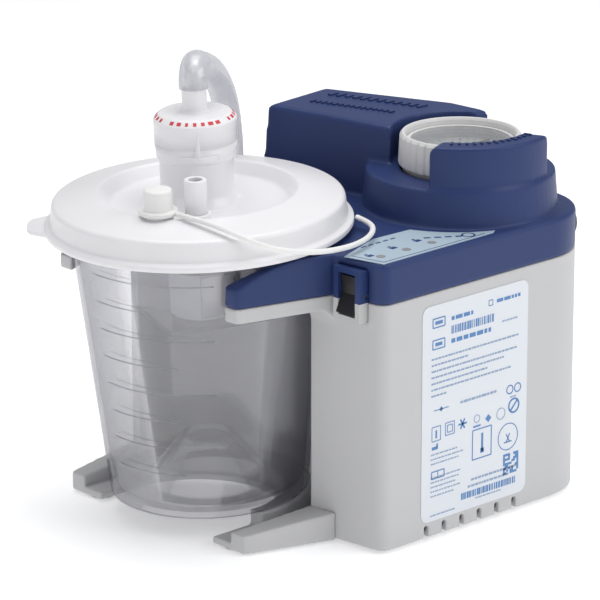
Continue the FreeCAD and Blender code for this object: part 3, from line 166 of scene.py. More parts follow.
def clear(name, face, edge, strength=1.0, gloss=0.06, base=0.08, milk=0.0):
    """Thin clear plastic: see-through face on, tinted and glossy where it turns away, with a
    share of milky white in the wall itself."""
    made, tree, main = shader(name)
    tree.nodes.remove(main)
    out = tree.nodes["Material Output"]
    facing = node(tree, "ShaderNodeLayerWeight", Blend=0.35)
    tone = node(tree, "ShaderNodeMixRGB")
    tone.inputs["Color1"].default_value = linear(*face)
    tone.inputs["Color2"].default_value = linear(*edge)
    tree.links.new(facing.outputs["Facing"], tone.inputs["Fac"])
    through = node(tree, "ShaderNodeBsdfTransparent")
    tree.links.new(tone.outputs["Color"], through.inputs["Color"])
    shine = node(tree, "ShaderNodeBsdfGlossy", Roughness=gloss)
    shine.inputs["Color"].default_value = (0.95, 0.95, 0.96, 1)
    amount = node(tree, "ShaderNodeMapRange")
    amount.inputs["To Min"].default_value = base
    amount.inputs["To Max"].default_value = min(1.0, base + 0.5 * strength)
    fresnel = node(tree, "ShaderNodeFresnel", IOR=1.45)
    tree.links.new(fresnel.outputs["Fac"], amount.inputs["Value"])
    mix = node(tree, "ShaderNodeMixShader")
    tree.links.new(amount.outputs["Result"], mix.inputs["Fac"])
    tree.links.new(through.outputs["BSDF"], mix.inputs[1])
    tree.links.new(shine.outputs["BSDF"], mix.inputs[2])
    haze = node(tree, "ShaderNodeBsdfDiffuse")
    haze.inputs["Color"].default_value = (0.88, 0.88, 0.9, 1)
    uneven = node(tree, "ShaderNodeTexNoise", Scale=60.0, Detail=2.0)
    place = node(tree, "ShaderNodeTexCoord")
    tree.links.new(place.outputs["Object"], uneven.inputs["Vector"])
    cloud = node(tree, "ShaderNodeMapRange")
    cloud.inputs["To Min"].default_value = milk * 0.8 + 0.01
    cloud.inputs["To Max"].default_value = milk * 1.2 + 0.04
    tree.links.new(uneven.outputs["Fac"], cloud.inputs["Value"])
    last = node(tree, "ShaderNodeMixShader")
    tree.links.new(cloud.outputs["Result"], last.inputs["Fac"])
    tree.links.new(mix.outputs["Shader"], last.inputs[1])
    tree.links.new(haze.outputs["BSDF"], last.inputs[2])
    tree.links.new(last.outputs["Shader"], out.inputs["Surface"])
    return made


def two_tone(name, upper, lower, split):
    """One material above a height and another below it."""
    made, tree, main = shader(name)
    tree.nodes.remove(main)
    place = node(tree, "ShaderNodeTexCoord")
    parts = node(tree, "ShaderNodeSeparateXYZ")
    tree.links.new(place.outputs["Object"], parts.inputs["Vector"])
    above = node(tree, "ShaderNodeMath", operation="GREATER_THAN")
    above.inputs[1].default_value = split * 0.001
    tree.links.new(parts.outputs["Z"], above.inputs[0])
    mix = node(tree, "ShaderNodeMixShader")
    tree.links.new(above.outputs["Value"], mix.inputs["Fac"])
    for slot, (colour, rough) in ((1, lower), (2, upper)):
        face = node(tree, "ShaderNodeBsdfPrincipled")
        grain = node(tree, "ShaderNodeTexNoise", Scale=2600.0, Detail=3.0)
        tree.links.new(place.outputs["Object"], grain.inputs["Vector"])
        bump = node(tree, "ShaderNodeBump", Strength=0.06, Distance=0.0002)
        tree.links.new(grain.outputs["Fac"], bump.inputs["Height"])
        tree.links.new(bump.outputs["Normal"], face.inputs["Normal"])
        face.inputs["Base Color"].default_value = linear(*colour)
        face.inputs["Roughness"].default_value = rough
        face.inputs["Specular IOR Level"].default_value = 0.3
        tree.links.new(face.outputs["BSDF"], mix.inputs[slot])
    tree.links.new(mix.outputs["Shader"], tree.nodes["Material Output"].inputs["Surface"])
    return made


NAVY = plastic("navy_shell", (43, 59, 106), 0.42, grain=2600, depth=0.05, mottle=0.03, sheen=0.28)
GREY = plastic("grey_shell", (194, 194, 195), 0.5, grain=2600, depth=0.08, mottle=0.015)
WHITE = plastic("white_lid", (237, 236, 238), 0.3, grain=900, depth=0.02, mottle=0.01)
SOFT_WHITE = plastic("soft_white", (238, 238, 236), 0.42, grain=900, depth=0.02, mottle=0.01)
KNOB_GREY = plastic("knob_grey", (216, 215, 214), 0.45, grain=1800, depth=0.04, mottle=0.02)
BLACK = plastic("black_switch", (34, 32, 32), 0.32, grain=1500, depth=0.03)
RUBBER = plastic("black_rubber", (22, 22, 23), 0.75, grain=1200, depth=0.15)
INNER = plastic("inner_black", (28, 28, 30), 0.55)
PANEL = plastic("panel_film", (176, 194, 206), 0.38, grain=1500, depth=0.02, mottle=0.01)
STICKER = plastic("sticker", (220, 224, 230), 0.4, grain=1200, depth=0.01, mottle=0.01)
PRINT = plastic("blue_print", (84, 132, 186), 0.5, grain=1200, depth=0.01)
FINE_PRINT = plastic("fine_print", (142, 164, 192), 0.5, grain=1200, depth=0.01)
DARK_PRINT = plastic("dark_print", (38, 62, 120), 0.5, grain=1200, depth=0.01)
RED_PRINT = plastic("red_print", (205, 62, 70), 0.5, grain=1200, depth=0.01)
LAMP = plastic("lamp_lens", (160, 162, 165), 0.2, grain=800, depth=0.01, coat=0.4)
DIAL = plastic("dial_face", (222, 223, 222), 0.45, grain=1500, depth=0.02)
NEEDLE = plastic("needle_paint", (120, 122, 124), 0.35)
BOARD = plastic("circuit_board", (20, 88, 50), 0.4)
WRAP = plastic("cell_wrap", (35, 92, 60), 0.3)
PAPER = plastic("filter_paper", (235, 233, 226), 0.9, grain=700, depth=0.2)
STEEL = metal("steel", (185, 185, 188), 0.3)
BRASS = metal("brass", (190, 150, 85), 0.35)
CAST = metal("cast_aluminium", (190, 190, 194), 0.45)
FRAME = two_tone("switch_surround", ((42, 60, 108), 0.42), ((196, 197, 196), 0.5), SPLIT)
JAR = clear("canister_clear", (252, 252, 253), (206, 206, 210), strength=0.8, base=0.05)
SHIELD = clear("shield_clear", (246, 246, 248), (196, 196, 202), strength=0.6, base=0.06)
TUBING = clear("tubing_clear", (246, 246, 248), (208, 209, 213), strength=0.6, gloss=0.18,
               base=0.08, milk=0.3)
GLASS = clear("gauge_window", (250, 250, 250), (225, 228, 230), strength=0.6, base=0.03)

FINISHES = {
    NAVY: ["top_cover"],
    FRAME: ["switch_frame"],
    GREY: ["lower_housing", "canister_tray"],
    WHITE: ["canister_lid", "filter_housing", "filter_cap", "hose_nipple", "shutoff_float"],
    SOFT_WHITE: ["port_cap", "cap_tether", "lid_gasket", "float_seal", "vacuum_tube",
                 "suction_tube", "exhaust_tube"],
    JAR: ["canister"],
    SHIELD: ["float_shield"],
    TUBING: ["hose", "hose_elbow"],
    GLASS: ["gauge_lens"],
    KNOB_GREY: ["regulator_knob", "gauge_case"],
    BLACK: ["power_rocker", "power_inlet"],
    RUBBER: ["rubber_feet", "diaphragm", "rubber_isolators", "reed_valves"],
    INNER: ["battery_tray", "exhaust_muffler", "regulator_body", "board_components"],
    PANEL: ["control_panel_label"],
    STICKER: ["rating_label"],
    LAMP: ["status_lamps"],
    DIAL: ["gauge_dial"],
    NEEDLE: ["gauge_needle"],
    BOARD: ["circuit_board"],
    WRAP: ["battery_cells"],
    PAPER: ["filter_membrane"],
    STEEL: ["rocker_pin", "regulator_spring", "motor_case", "motor_armature", "motor_shaft",
            "eccentric", "crank_bearing", "head_screws", "pump_bracket", "housing_screws"],
    BRASS: ["bourdon_tube", "regulator_plunger", "motor_bearings"],
    CAST: ["connecting_rod", "diaphragm_clamp", "crankcase", "valve_plate", "pump_head"],
}
for finish, names in FINISHES.items():
    for name in names:
        nodes[name].data.materials.clear()
        nodes[name].data.materials.append(finish)


# ---------------------------------------------------------------- mesh building

def add(name, corners, faces, finish, body, where=UPRIGHT, replaced=(), smooth=True):
    """A piece from corners in millimetres and faces, in the frame and riding on a body."""
    mesh = bpy.data.meshes.new(name)
    mesh.from_pydata([(where @ Vector(corner)) * 0.001 for corner in corners], [], faces)
    tool = bmesh.new()
    tool.from_mesh(mesh)
    bmesh.ops.recalc_face_normals(tool, faces=tool.faces)
    tool.to_mesh(mesh)
    tool.free()
    mesh.materials.append(finish)
    piece = bpy.data.objects.new(name, mesh)
    bpy.context.scene.collection.objects.link(piece)
    if smooth:
        mesh.shade_smooth()
    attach(piece, body)
    if replaced:
        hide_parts(*replaced)
    return piece


def soften(profile, radius, steps=4, closed=True):
    """Rounds the corners of a profile of (radius, height) points."""
    made = []
    count = len(profile)
    for number, corner in enumerate(profile):
        here = Vector(corner[:2])
        if not closed and number in (0, count - 1):
            made.append(tuple(here))
            continue
        size = corner[2] if len(corner) > 2 else radius
        before = Vector(profile[number - 1][:2]) - here
        after = Vector(profile[(number + 1) % count][:2]) - here
        if size == 0 or here.x < 1e-6:
            made.append(tuple(here))
            continue
        turn = before.angle(after, math.pi)
        reach = min(size / math.tan(turn / 2), before.length * 0.48, after.length * 0.48)
        first = here + before.normalized() * reach
        last = here + after.normalized() * reach
        for step in range(steps + 1):
            part = step / steps
            made.append(tuple(first * (1 - part) ** 2 + here * 2 * part * (1 - part)
                              + last * part ** 2))
    return made


def lathe(name, profile, finish, body, centre=(0, 0), where=LEANED, replaced=(), closed=True,
          turns=128, ripple=None):
    """A piece turned about an upright axis. ripple(radius, height, angle) may change a radius."""
    corners = []
    for number in range(turns):
        angle = 2 * math.pi * number / turns
        for radius, height in profile:
            reach = ripple(radius, height, angle) if ripple else radius
            corners.append((centre[0] + reach * math.cos(angle),
                            centre[1] + reach * math.sin(angle), height))
    count = len(profile)
    faces = []
    for number in range(turns):
        after = (number + 1) % turns
        for step in range(count if closed else count - 1):
            up = (step + 1) % count
            faces.append((number * count + step, after * count + step, after * count + up,
                          number * count + up))
    piece = add(name, corners, faces, finish, body, where, replaced)
    tool = bmesh.new()
    tool.from_mesh(piece.data)
    bmesh.ops.remove_doubles(tool, verts=tool.verts, dist=1e-6)
    bmesh.ops.recalc_face_normals(tool, faces=tool.faces)
    tool.to_mesh(piece.data)
    tool.free()
    return piece


def slab(name, outline, low, high, finish, body, where=UPRIGHT, bevel=0.0, replaced=()):
    """A prism over a closed outline of (x, y) points, with softened edges."""
    count = len(outline)
    corners = [(x, y, low) for x, y in outline] + [(x, y, high) for x, y in outline]
    faces = [tuple(range(count))[::-1], tuple(range(count, 2 * count))]
    faces += [(n, (n + 1) % count, count + (n + 1) % count, count + n) for n in range(count)]
    piece = add(name, corners, faces, finish, body, where, replaced, smooth=False)
    if bevel:
        soft_edges(piece, bevel)
    return piece


def soft_edges(piece, width, segments=3, limit=30):
    bevel = piece.modifiers.new("soft_edges", "BEVEL")
    bevel.width = width * 0.001
    bevel.segments = segments
    bevel.limit_method = "ANGLE"
    bevel.angle_limit = math.radians(limit)
    bevel.harden_normals = True
    piece.data.shade_smooth()
    return piece


def marks(name, boxes, finish, body, where=UPRIGHT):
    """Many small raised bars in one piece: each is a matrix and three sizes in millimetres."""
    corners, faces = [], []
    for turn, (wide, deep, high) in boxes:
        base = len(corners)
        for z in (0, high):
            for x, y in ((-1, -1), (1, -1), (1, 1), (-1, 1)):
                corners.append(turn @ Vector((x * wide / 2, y * deep / 2, z)))
        for face in ((3, 2, 1, 0), (4, 5, 6, 7), (0, 1, 5, 4), (1, 2, 6, 5), (2, 3, 7, 6),
                     (3, 0, 4, 7)):
            faces.append(tuple(base + corner for corner in face))
    return add(name, corners, faces, finish, body, where, smooth=False)


def at(x, y, z, turn=0):
    return Matrix.Translation((x, y, z)) @ Matrix.Rotation(math.radians(turn), 4, "Z")


def moulded(node_name, body, finish, voxel=0.7, rounds=6, keep=0.25):
    """A copy of a CAD piece with every edge rounded as a moulding's are: it is remeshed finely,
    smoothed and thinned out again."""
    source = nodes[node_name]
    piece = bpy.data.objects.new(node_name + "_moulded", source.data.copy())
    bpy.context.scene.collection.objects.link(piece)
    remesh = piece.modifiers.new("remesh", "REMESH")
    remesh.mode = "VOXEL"
    remesh.voxel_size = voxel * 0.001
    smooth = piece.modifiers.new("smooth", "SMOOTH")
    smooth.factor = 0.5
    smooth.iterations = rounds
    thin = piece.modifiers.new("thin", "DECIMATE")
    thin.ratio = keep
    bpy.context.view_layer.update()
    ready = piece.evaluated_get(bpy.context.evaluated_depsgraph_get())
    mesh = bpy.data.meshes.new_from_object(ready)
    piece.modifiers.clear()
    piece.data = mesh
    mesh.materials.clear()
    mesh.materials.append(finish)
    mesh.shade_smooth()
    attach(piece, body)
    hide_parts(node_name)
    return piece


# ---------------------------------------------------------------- canister

JAR_FOOT_RADIUS, JAR_RIM_RADIUS = 43.4, 56.2
lathe("canister_wall", soften([
    (0, FOOT + 22, 0), (9.5, FOOT + 22, 2), (25.3, FOOT + 2, 2), (40, FOOT + 2, 1),
    (41.4, FOOT, 0.6), (JAR_FOOT_RADIUS, FOOT, 0.8), (JAR_RIM_RADIUS, RIM - BEAD, 0.3),
    (58.5, RIM - BEAD, 0.6), (58.5, RIM, 0.6), (54.2, RIM, 0.6), (54.2, RIM - BEAD, 1),
    (41.6, FOOT + FLOOR_THICK, 3), (27.3, FOOT + FLOOR_THICK, 3), (11.5, FOOT + 24, 2.5),
    (0, FOOT + 24, 0)], 1), JAR, "canister", replaced=["canister"])

# ---------------------------------------------------------------- lid and its fittings

lathe("lid_shell", soften([
    (59.2, TOP - 8, 0), (66.7, TOP - 8, 0.6), (66.7, TOP - 5.6, 1), (64.2, TOP - 4.6, 1.2),
    (63.2, TOP + 4.3, 2.6), (43, TOP + 8.5, 2.5), (38, TOP + 2.8, 3), (18.5, TOP + 2.8, 3),
    (16, TOP + 8, 4), (16, NECK_TOP, 0.3), (NECK_BORE, NECK_TOP, 0.2), (NECK_BORE, TOP + 0.6, 0.5),
    (38.8, TOP + 0.6, 0.5), (42.7, TOP + 6.1, 0.5), (53.7, TOP + 3.8, 0.5), (53.7, TOP, 0),
    (59.2, TOP, 0)], 1), WHITE, "lid", replaced=["canister_lid"])

tab_turn = Matrix.Rotation(math.radians(137), 4, "Z")
slab("lid_tab", [(61, -17), (66, -13), (70, -10.4), (72.6, -8.6), (73.9, -5.5), (74.2, 0),
                 (73.9, 5.5), (72.6, 8.6), (70, 10.4), (66, 13), (61, 17)],
     TOP - 8, TOP - 6, WHITE, "lid", LEANED @ tab_turn, bevel=0.7)

lathe("open_port", soften([(PORT_RADIUS, TOP + 1.8, 0), (PORT_RADIUS, PORT_TOP, 0.5),
                           (PORT_BORE, PORT_TOP, 0.4), (PORT_BORE, TOP + 1.8, 0)], 0.5),
      WHITE, "lid", PORT, turns=48)
lathe("open_port_foot", soften([(PORT_FOOT_RADIUS, TOP + 2.2, 0),
                                (PORT_FOOT_RADIUS, PORT_FOOT_TOP, 1.2),
                                (PORT_RADIUS, PORT_FOOT_TOP, 0.2),
                                (PORT_RADIUS, TOP + 2.2, 0)], 0.8),
      WHITE, "lid", PORT, turns=48)
lathe("capped_port", soften([(PORT_FOOT_RADIUS, TOP + 1.8, 0), (PORT_FOOT_RADIUS, 147.2, 0.6),
                             (PORT_RADIUS, PORT_FOOT_TOP, 0.4), (PORT_RADIUS, CAPPED_TOP, 0.4),
                             (PORT_BORE, CAPPED_TOP, 0.3), (PORT_BORE, TOP + 1.8, 0)], 0.5),
      WHITE, "lid", CAPPED, turns=48)
lathe("port_cap_shell", soften([(4.85, CAP_LOW, 0), (8.4, CAP_LOW, 0.7), (8.4, CAP_LOW + 2, 0.7),
                                (6.1, CAP_LOW + 2, 0.5), (6.1, CAP_TOP, 1.3), (0, CAP_TOP, 0),
                                (0, CAPPED_TOP, 0), (4.85, CAPPED_TOP, 0)], 0.6),
      SOFT_WHITE, "port_cap", CAPPED, turns=64, replaced=["port_cap"])

# filter: its body in the neck, then the cap that carries the stem
lathe("filter_body", soften([(8, 145.7, 0), (13.45, 145.7, 1), (13.45, NECK_TOP, 0),
                             (17.2, NECK_TOP, 0.8), (17.4, 164.2, 0),
                             (FILTER_RADIUS, FILTER_SPLIT, 0), (14, FILTER_SPLIT, 0),
                             (14, 164.7, 0), (8, 164.7, 0)], 0.5),
      WHITE, "filter", replaced=["filter_housing"])
lathe("filter_top", soften([(14, FILTER_SPLIT, 0), (FILTER_RADIUS, FILTER_SPLIT, 0),
                            (FILTER_RADIUS, 178.6, 1), (15.4, FILTER_TOP, 1),
                            (6.6, FILTER_TOP, 1.2), (5.4, 182.6, 1), (5.3, STEM_TOP, 0.5),
                            (STEM_BORE, STEM_TOP, 0.4), (STEM_BORE, 178.6, 0.4),
                            (14, 178.6, 0.4)], 0.5),
      WHITE, "filter", replaced=["filter_cap"])

# tether: a thin round strap along a smooth line
TETHER = [(-33.9, -24.5, 148.6), (-34.1, -30.5, 148.6), (-32.6, -37.5, 148.1),
          (-31.2, -46.5, 147.1), (-30.2, -56.2, 145.6), (-23.4, -64.6, 140.8),
          (-12.4, -69.6, 136.4), (1.0, -74.2, 133.8), (15.0, -76.0, 132.7),
          (28.8, -73.0, 132.0), (40.2, -66.4, 131.8), (47.4, -57.4, 131.75),
          (49.0, -47.0, 131.75)]


def smooth_line(name, points, where=UPRIGHT):
    """A curve whose control points are these points, without any thickness."""
    data = bpy.data.curves.new(name, "CURVE")
    data.dimensions = "3D"
    data.resolution_u = 8
    line = data.splines.new("NURBS")
    line.points.add(len(points) - 1)
    for spot, point in zip(line.points, points):
        spot.co = ((where @ Vector(point)) * 0.001).to_4d()
    line.order_u = 3
    line.use_endpoint_u = True
    made = bpy.data.objects.new(name, data)
    bpy.context.scene.collection.objects.link(made)
    return made


def solid(curve_piece, radius, fill=True):
    """Turns a line into a mesh tube."""
    curve_piece.data.bevel_depth = radius * 0.001
    curve_piece.data.bevel_resolution = 5
    curve_piece.data.use_fill_caps = fill
    bpy.context.view_layer.update()
    ready = curve_piece.evaluated_get(bpy.context.evaluated_depsgraph_get())
    mesh = bpy.data.meshes.new_from_object(ready)
    made = bpy.data.objects.new(curve_piece.name + "_tube", mesh)
    bpy.context.scene.collection.objects.link(made)
    bpy.data.objects.remove(curve_piece)
    mesh.shade_smooth()
    return made


strap = solid(smooth_line("tether", TETHER, LEANED), 1.2)
strap.data.materials.append(SOFT_WHITE)
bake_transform(strap)
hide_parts("cap_tether")

# ---------------------------------------------------------------- hose

HOSE = [(4.52, 5.35, 199.50), (21.63, 18.25, 194.52), (43.5, 33.8, 179.0), (54.35, 41.7, 164.2),
        (59.6, 45.55, 149.6), (60.82, 46.44, 138.7), (60.82, 46.44, 131.5)]
hose = smooth_line("vacuum_hose", HOSE)
hose.data.bevel_depth = 0.0059
hose.data.bevel_resolution = 8
hose.data.resolution_u = 16
hose.data.use_fill_caps = False
hose.data.materials.append(TUBING)
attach(hose, "filter")
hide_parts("hose")

# ---------------------------------------------------------------- housing

moulded("top_cover", "pump", NAVY, 0.75, 6, 0.3)
moulded("lower_housing", "pump", GREY, 0.6, 4, 0.15)
moulded("canister_tray", "pump", GREY, 0.6, 3, 0.3)

# ---------------------------------------------------------------- regulator spring

COILS, COIL_LOW, COIL_HIGH, WIRE = 6, 102.3, 113.7, 0.75
helix = [(7.4 * math.cos(math.radians(20 * n)), 7.4 * math.sin(math.radians(20 * n)),
          COIL_LOW + (COIL_HIGH - COIL_LOW) * n / (18 * COILS)) for n in range(18 * COILS + 1)]
spring = solid(smooth_line("spring", [tuple(KNOB + Vector(spot)) for spot in helix]), WIRE)
spring.data.materials.append(STEEL)
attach(spring, "pump")
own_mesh(spring)
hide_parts("regulator_spring")

# ---------------------------------------------------------------- knob


def grip(radius, height, angle):
    """Shallow flutes round the outside of the knob's ring."""
    if radius < 26.2 or height < KNOB_STEP:
        return radius
    return radius - 0.75 * max(0.0, math.cos(angle * 36)) ** 3


lathe("knob_ring", soften([
    (6, KNOB_REST - 4.5, 0), (9, KNOB_REST - 4.5, 0), (9, KNOB_REST, 0), (25.5, KNOB_REST, 0),
    (25.5, KNOB_STEP, 0), (26.9, KNOB_STEP, 0.5), (27.3, KNOB_STEP + 1, 0), (26.7, 160.4, 0.5),
    (25.7, KNOB_TOP, 0.6), (24.6, KNOB_TOP, 0.4), (24, 160.5, 0.4), (24, KNOB_REST + 2.5, 0),
    (6, KNOB_REST + 2.5, 0)], 0.5), KNOB_GREY, "knob", KNOB[:2], UPRIGHT,
    replaced=["regulator_knob"], turns=432, ripple=grip)

# ---------------------------------------------------------------- print and raised marks

def on_side(x, z, turn=0):
    """A mark's place on the rating label, which faces -Y: its own x runs along X."""
    return (Matrix.Translation((x - 2.2, LABEL_FACE, z + 1.1))
            @ Matrix.Rotation(math.radians(90), 4, "X")
            @ Matrix.Rotation(math.radians(turn), 4, "Z"))


def dashes(x, z, length, high, seed):
    """A line of small print as dashes of uneven length."""
    made = []
    pick = random.Random(seed)
    here = x
    while here < x + length - 0.6:
        wide = min(pick.uniform(0.9, 3.2) * max(high, 1.0) / 1.2, x + length - here)
        made.append((on_side(here + wide / 2, z), (wide, high, MARK)))
        here += wide + 0.45 * max(high, 1.0)
    return made


def frame_of(x, z, wide, high, line=0.35):
    """The four sides of a printed box."""
    return [(on_side(x + wide / 2, z), (wide, line, MARK)),
            (on_side(x + wide / 2, z + high), (wide, line, MARK)),
            (on_side(x, z + high / 2), (line, high, MARK)),
            (on_side(x + wide, z + high / 2), (line, high, MARK))]


def stripes(x, z, length, high, seed):
    """A row of upright bars of uneven width."""
    made = []
    pick = random.Random(seed)
    here = x
    while here < x + length - 0.6:
        wide = pick.uniform(0.3, 1.1)
        made.append((on_side(here + wide / 2, z), (wide, high, MARK)))
        here += wide + pick.uniform(0.25, 0.8)
    return made


def circle_of(x, z, radius, line=0.4, sides=20):
    """A printed ring as short straight strokes."""
    return [(on_side(x, z, 360 * number / sides) @ Matrix.Translation((radius, 0, 0)),
             (line, 2.1 * radius * math.tan(math.pi / sides), MARK)) for number in range(sides)]


# The label, from top to bottom. Every piece of lettering is a row of plain dashes.
BARCODES = stripes(60, 91.6, 26, 3.6, 41) + stripes(67, 14.2, 34, 3, 42)

# two boxed signs with a line of large print each, a date line and its small box
PRINTED = frame_of(48.8, 94.6, 7.2, 4, 0.5) + frame_of(48.8, 85, 7.2, 4, 0.5)
PRINTED += [(on_side(52.4, 96.6), (4.4, 1.5, MARK)), (on_side(52.4, 87), (4.2, 1.5, MARK))]
PRINTED += dashes(60, 96.7, 13, 1.7, 1) + dashes(87.5, 98.6, 14.5, 1.5, 2)
PRINTED += dashes(60, 86.6, 25, 1.9, 3) + frame_of(82.6, 97.4, 2.4, 2.4)

# the paragraph in the middle
FINE = dashes(91, 88.6, 10, 0.7, 4)
for row, length in enumerate((53, 22, 52, 45, 34, 49, 9)):
    FINE += dashes(48.2, 80.6 - 2.75 * row, length, 0.8, 50 + row)

# the plug's sign and the two rows of plain signs under it
FINE += dashes(66, 57.6, 22, 1.1, 8) + dashes(96.6, 52.8, 4.4, 0.6, 9)
PRINTED += [(on_side(54.3, 57.4), (9, 0.35, MARK)), (on_side(54.3, 57.4, 45), (1.7, 1.7, MARK))]
PRINTED += frame_of(48.8, 43.6, 5.2, 6.4) + frame_of(57, 44.6, 5.4, 5.6)
PRINTED += frame_of(58.2, 45.8, 3, 3.2) + [(on_side(51.4, 46.6), (0.9, 3.6, MARK))]
PRINTED += circle_of(96.4, 56.4, 1.9, 0.5, 14) + circle_of(101.2, 56.4, 1.9, 0.5, 14)
BOLD = [(on_side(67.4, 47.6, turn), (5, 0.8, MARK)) for turn in (0, 60, 120)]
BOLD += [(on_side(76.2, 44.4), (4.4, 0.8, MARK)), (on_side(83.2, 46.4, 45), (2.6, 2.6, MARK))]
BOLD += circle_of(99, 48.6, 3.1, 0.8) + [(on_side(99, 48.6, 45), (5.8, 0.8, MARK))]
FINE += circle_of(76.2, 47.8, 1.7, 0.35, 12) + circle_of(91, 46.6, 2.5, 0.35, 12)

# a thermometer in a frame, a triangle in a ring, two small signs
PRINTED += frame_of(73.6, 29.4, 11.6, 13.4, 0.5) + [(on_side(79.6, 36.4), (1.2, 8.4, MARK)),
                                                    (on_side(79.6, 32.6), (2.2, 2.2, MARK))]
PRINTED += circle_of(95.6, 35, 6) + [(on_side(95.6, 34.4, 60), (4.6, 0.5, MARK)),
                                     (on_side(95.6, 34.4, 120), (4.6, 0.5, MARK)),
                                     (on_side(95.6, 32.6), (4.8, 0.5, MARK))]
PRINTED += frame_of(48.8, 26.6, 7.6, 3.2, 0.5) + [(on_side(52.6, 28.2), (0.4, 3.2, MARK))]
PRINTED += [(on_side(50.6, 40.4), (3.6, 1.4, MARK)), (on_side(52, 41.4), (0.9, 1.8, MARK))]

# the column of small print, and the lines over and under the lower bars
for row, length in enumerate((16, 20, 17, 0, 0, 18, 17, 15, 18, 14)):
    FINE += dashes(48.2, 37.6 - 2.1 * row, length, 0.6, 20 + row) if length else []
FINE += dashes(73, 20.6, 28, 1.0, 10) + dashes(71, 17.8, 26, 1.0, 12)
FINE += dashes(48.2, 9.9, 15, 0.6, 14) + dashes(76, 11.5, 16, 0.6, 13)

# a square of random blocks that holds no code
CELLS, CELL = 9, 1.05
CORNER_COLUMNS = (0, 1, 2, 6, 7, 8)
blocks = random.Random(11)
for row in range(CELLS):
    for column in range(CELLS):
        if (row in (0, 2) and column in CORNER_COLUMNS) or blocks.random() < 0.5:
            BOLD.append((on_side(93.4 + CELL * column, 26.6 - CELL * row), (1.06, 1.06, MARK)))
marks("label_print", PRINTED, PRINT, "pump")
marks("label_fine_print", FINE, FINE_PRINT, "pump")
marks("label_dark_print", BOLD, PRINT, "pump")
marks("label_bars", BARCODES, PRINT, "pump")

# the panel: a border line, three small signs by the lamps, a plain ring and a few dashes
PANEL_MARKS = []


def stroke(start, end, wide):
    """A printed line on the panel from one spot to another."""
    way = Vector((end[0] - start[0], end[1] - start[1]))
    middle = ((start[0] + end[0]) / 2, (start[1] + end[1]) / 2)
    return (at(middle[0], middle[1], DECK, math.degrees(math.atan2(way.y, way.x))),
            (way.length, wide, FILM_MARK))


for x, y in ((23.4, -81.8), (38.6, -80.2), (53.6, -79.6)):
    PANEL_MARKS.append((at(x, y, DECK, 8), (3.4, 2.4, FILM_MARK)))
    PANEL_MARKS.append((at(x - 0.4, y + 2.2, DECK, 8), (1.6, 1.2, FILM_MARK)))
border = [(17.6, -76.8), (21.2, -92.4), (82, -91.6)]
for start, end in zip(border, border[1:]):
    PANEL_MARKS.append(stroke(start, end, 0.45))
for number in range(5):
    PANEL_MARKS.append((at(30.5 + 4.4 * number, -70.5 + 0.1 * number, DECK, 2),
                        (2.9, 1.1, FILM_MARK)))
for number in range(4):
    PANEL_MARKS.append((at(59.5 + 3.9 * number, -79.4 - 2.5 * number, DECK, -33),
                        (2.9, 1.5, FILM_MARK)))
marks("panel_print", PANEL_MARKS, DARK_PRINT, "pump")
lathe("panel_ring", [(2.3, DECK), (2.3, DECK + FILM_MARK), (3.1, DECK + FILM_MARK), (3.1, DECK)],
      DARK_PRINT, "pump", (75.6, -88.2), UPRIGHT, turns=48)

# two rows of slanted raised bars on the ridge, and raised ticks on the shroud's top
BARS = []
for start, end, count, tall, wide in (((109, 33), (124.2, -13.4), 12, 6.4, 2.1),
                                      ((94, 29.6), (107.4, -10.4), 15, 3.6, 1.5)):
    way = Vector((end[0] - start[0], end[1] - start[1]))
    heading = math.degrees(math.atan2(way.y, way.x))
    pick = random.Random(count)
    for number in range(count):
        part = (number + 0.5) / count
        lean = heading + 90 - 18
        BARS.append((at(start[0] + way.x * part, start[1] + way.y * part, RIDGE_TOP, lean),
                     (tall * pick.uniform(0.7, 1), wide * pick.uniform(0.8, 1.15), 0.8)))
soft_edges(marks("ridge_bars", BARS, NAVY, "pump"), 0.25, 2)
TICKS = []
for number in range(13):
    angle = -142 + 5.6 * number
    tall = 3.6 if number % 3 == 0 else 2.2
    TICKS.append((Matrix.Translation(KNOB) @ Matrix.Rotation(math.radians(angle), 4, "Z")
                  @ Matrix.Translation((33.2, 0, SHROUD_TOP)), (tall, 1.2, 0.7)))
soft_edges(marks("shroud_ticks", TICKS, NAVY, "pump"), 0.2, 2)

# the red ring of dashes on the filter cap's chamfer
RED = []
pick = random.Random(5)
for number in range(30):
    if number % 8 == 7:
        continue
    RED.append((Matrix.Rotation(math.radians(12 * number), 4, "Z")
                @ Matrix.Translation((16.6, 0, 179.9)) @ Matrix.Rotation(math.radians(45), 4, "Y"),
                (1.7, pick.uniform(1.2, 2.4), 0.08)))
marks("cap_print", RED, RED_PRINT, "filter", LEANED)

# the cap's grip rib and the lip under it, towards the label side
FACING = math.radians(-128)
ahead = Matrix.Rotation(FACING, 4, "Z")


def wedge(name, lower, upper, low, high, finish, body, where, bevel):
    """A prism whose outline changes from its foot to its top."""
    count = len(lower)
    corners = [(x, y, low) for x, y in lower] + [(x, y, high) for x, y in upper]
    faces = [tuple(range(count))[::-1], tuple(range(count, 2 * count))]
    faces += [(n, (n + 1) % count, count + (n + 1) % count, count + n) for n in range(count)]
    return soft_edges(add(name, corners, faces, finish, body, where, smooth=False), bevel)


wedge("cap_rib", [(17, -2.6), (19.3, -0.5), (19.3, 0.5), (17, 0.8)],
      [(17, -0.6), (18, -0.3), (18, 0.3), (17, 0.4)], 165.6, 177.4, WHITE, "filter",
      LEANED @ ahead, 0.3)
lip = [(16, -9)] + [(17.6 * math.cos(a) + 1.9 * math.cos(a * 2.6), 17.6 * math.sin(a))
                    for a in [math.radians(-28 + 7 * n) for n in range(9)]] + [(16, 9)]
wedge("cap_lip", lip, lip, 163.6, 165.8, WHITE, "filter", LEANED @ ahead, 0.5)

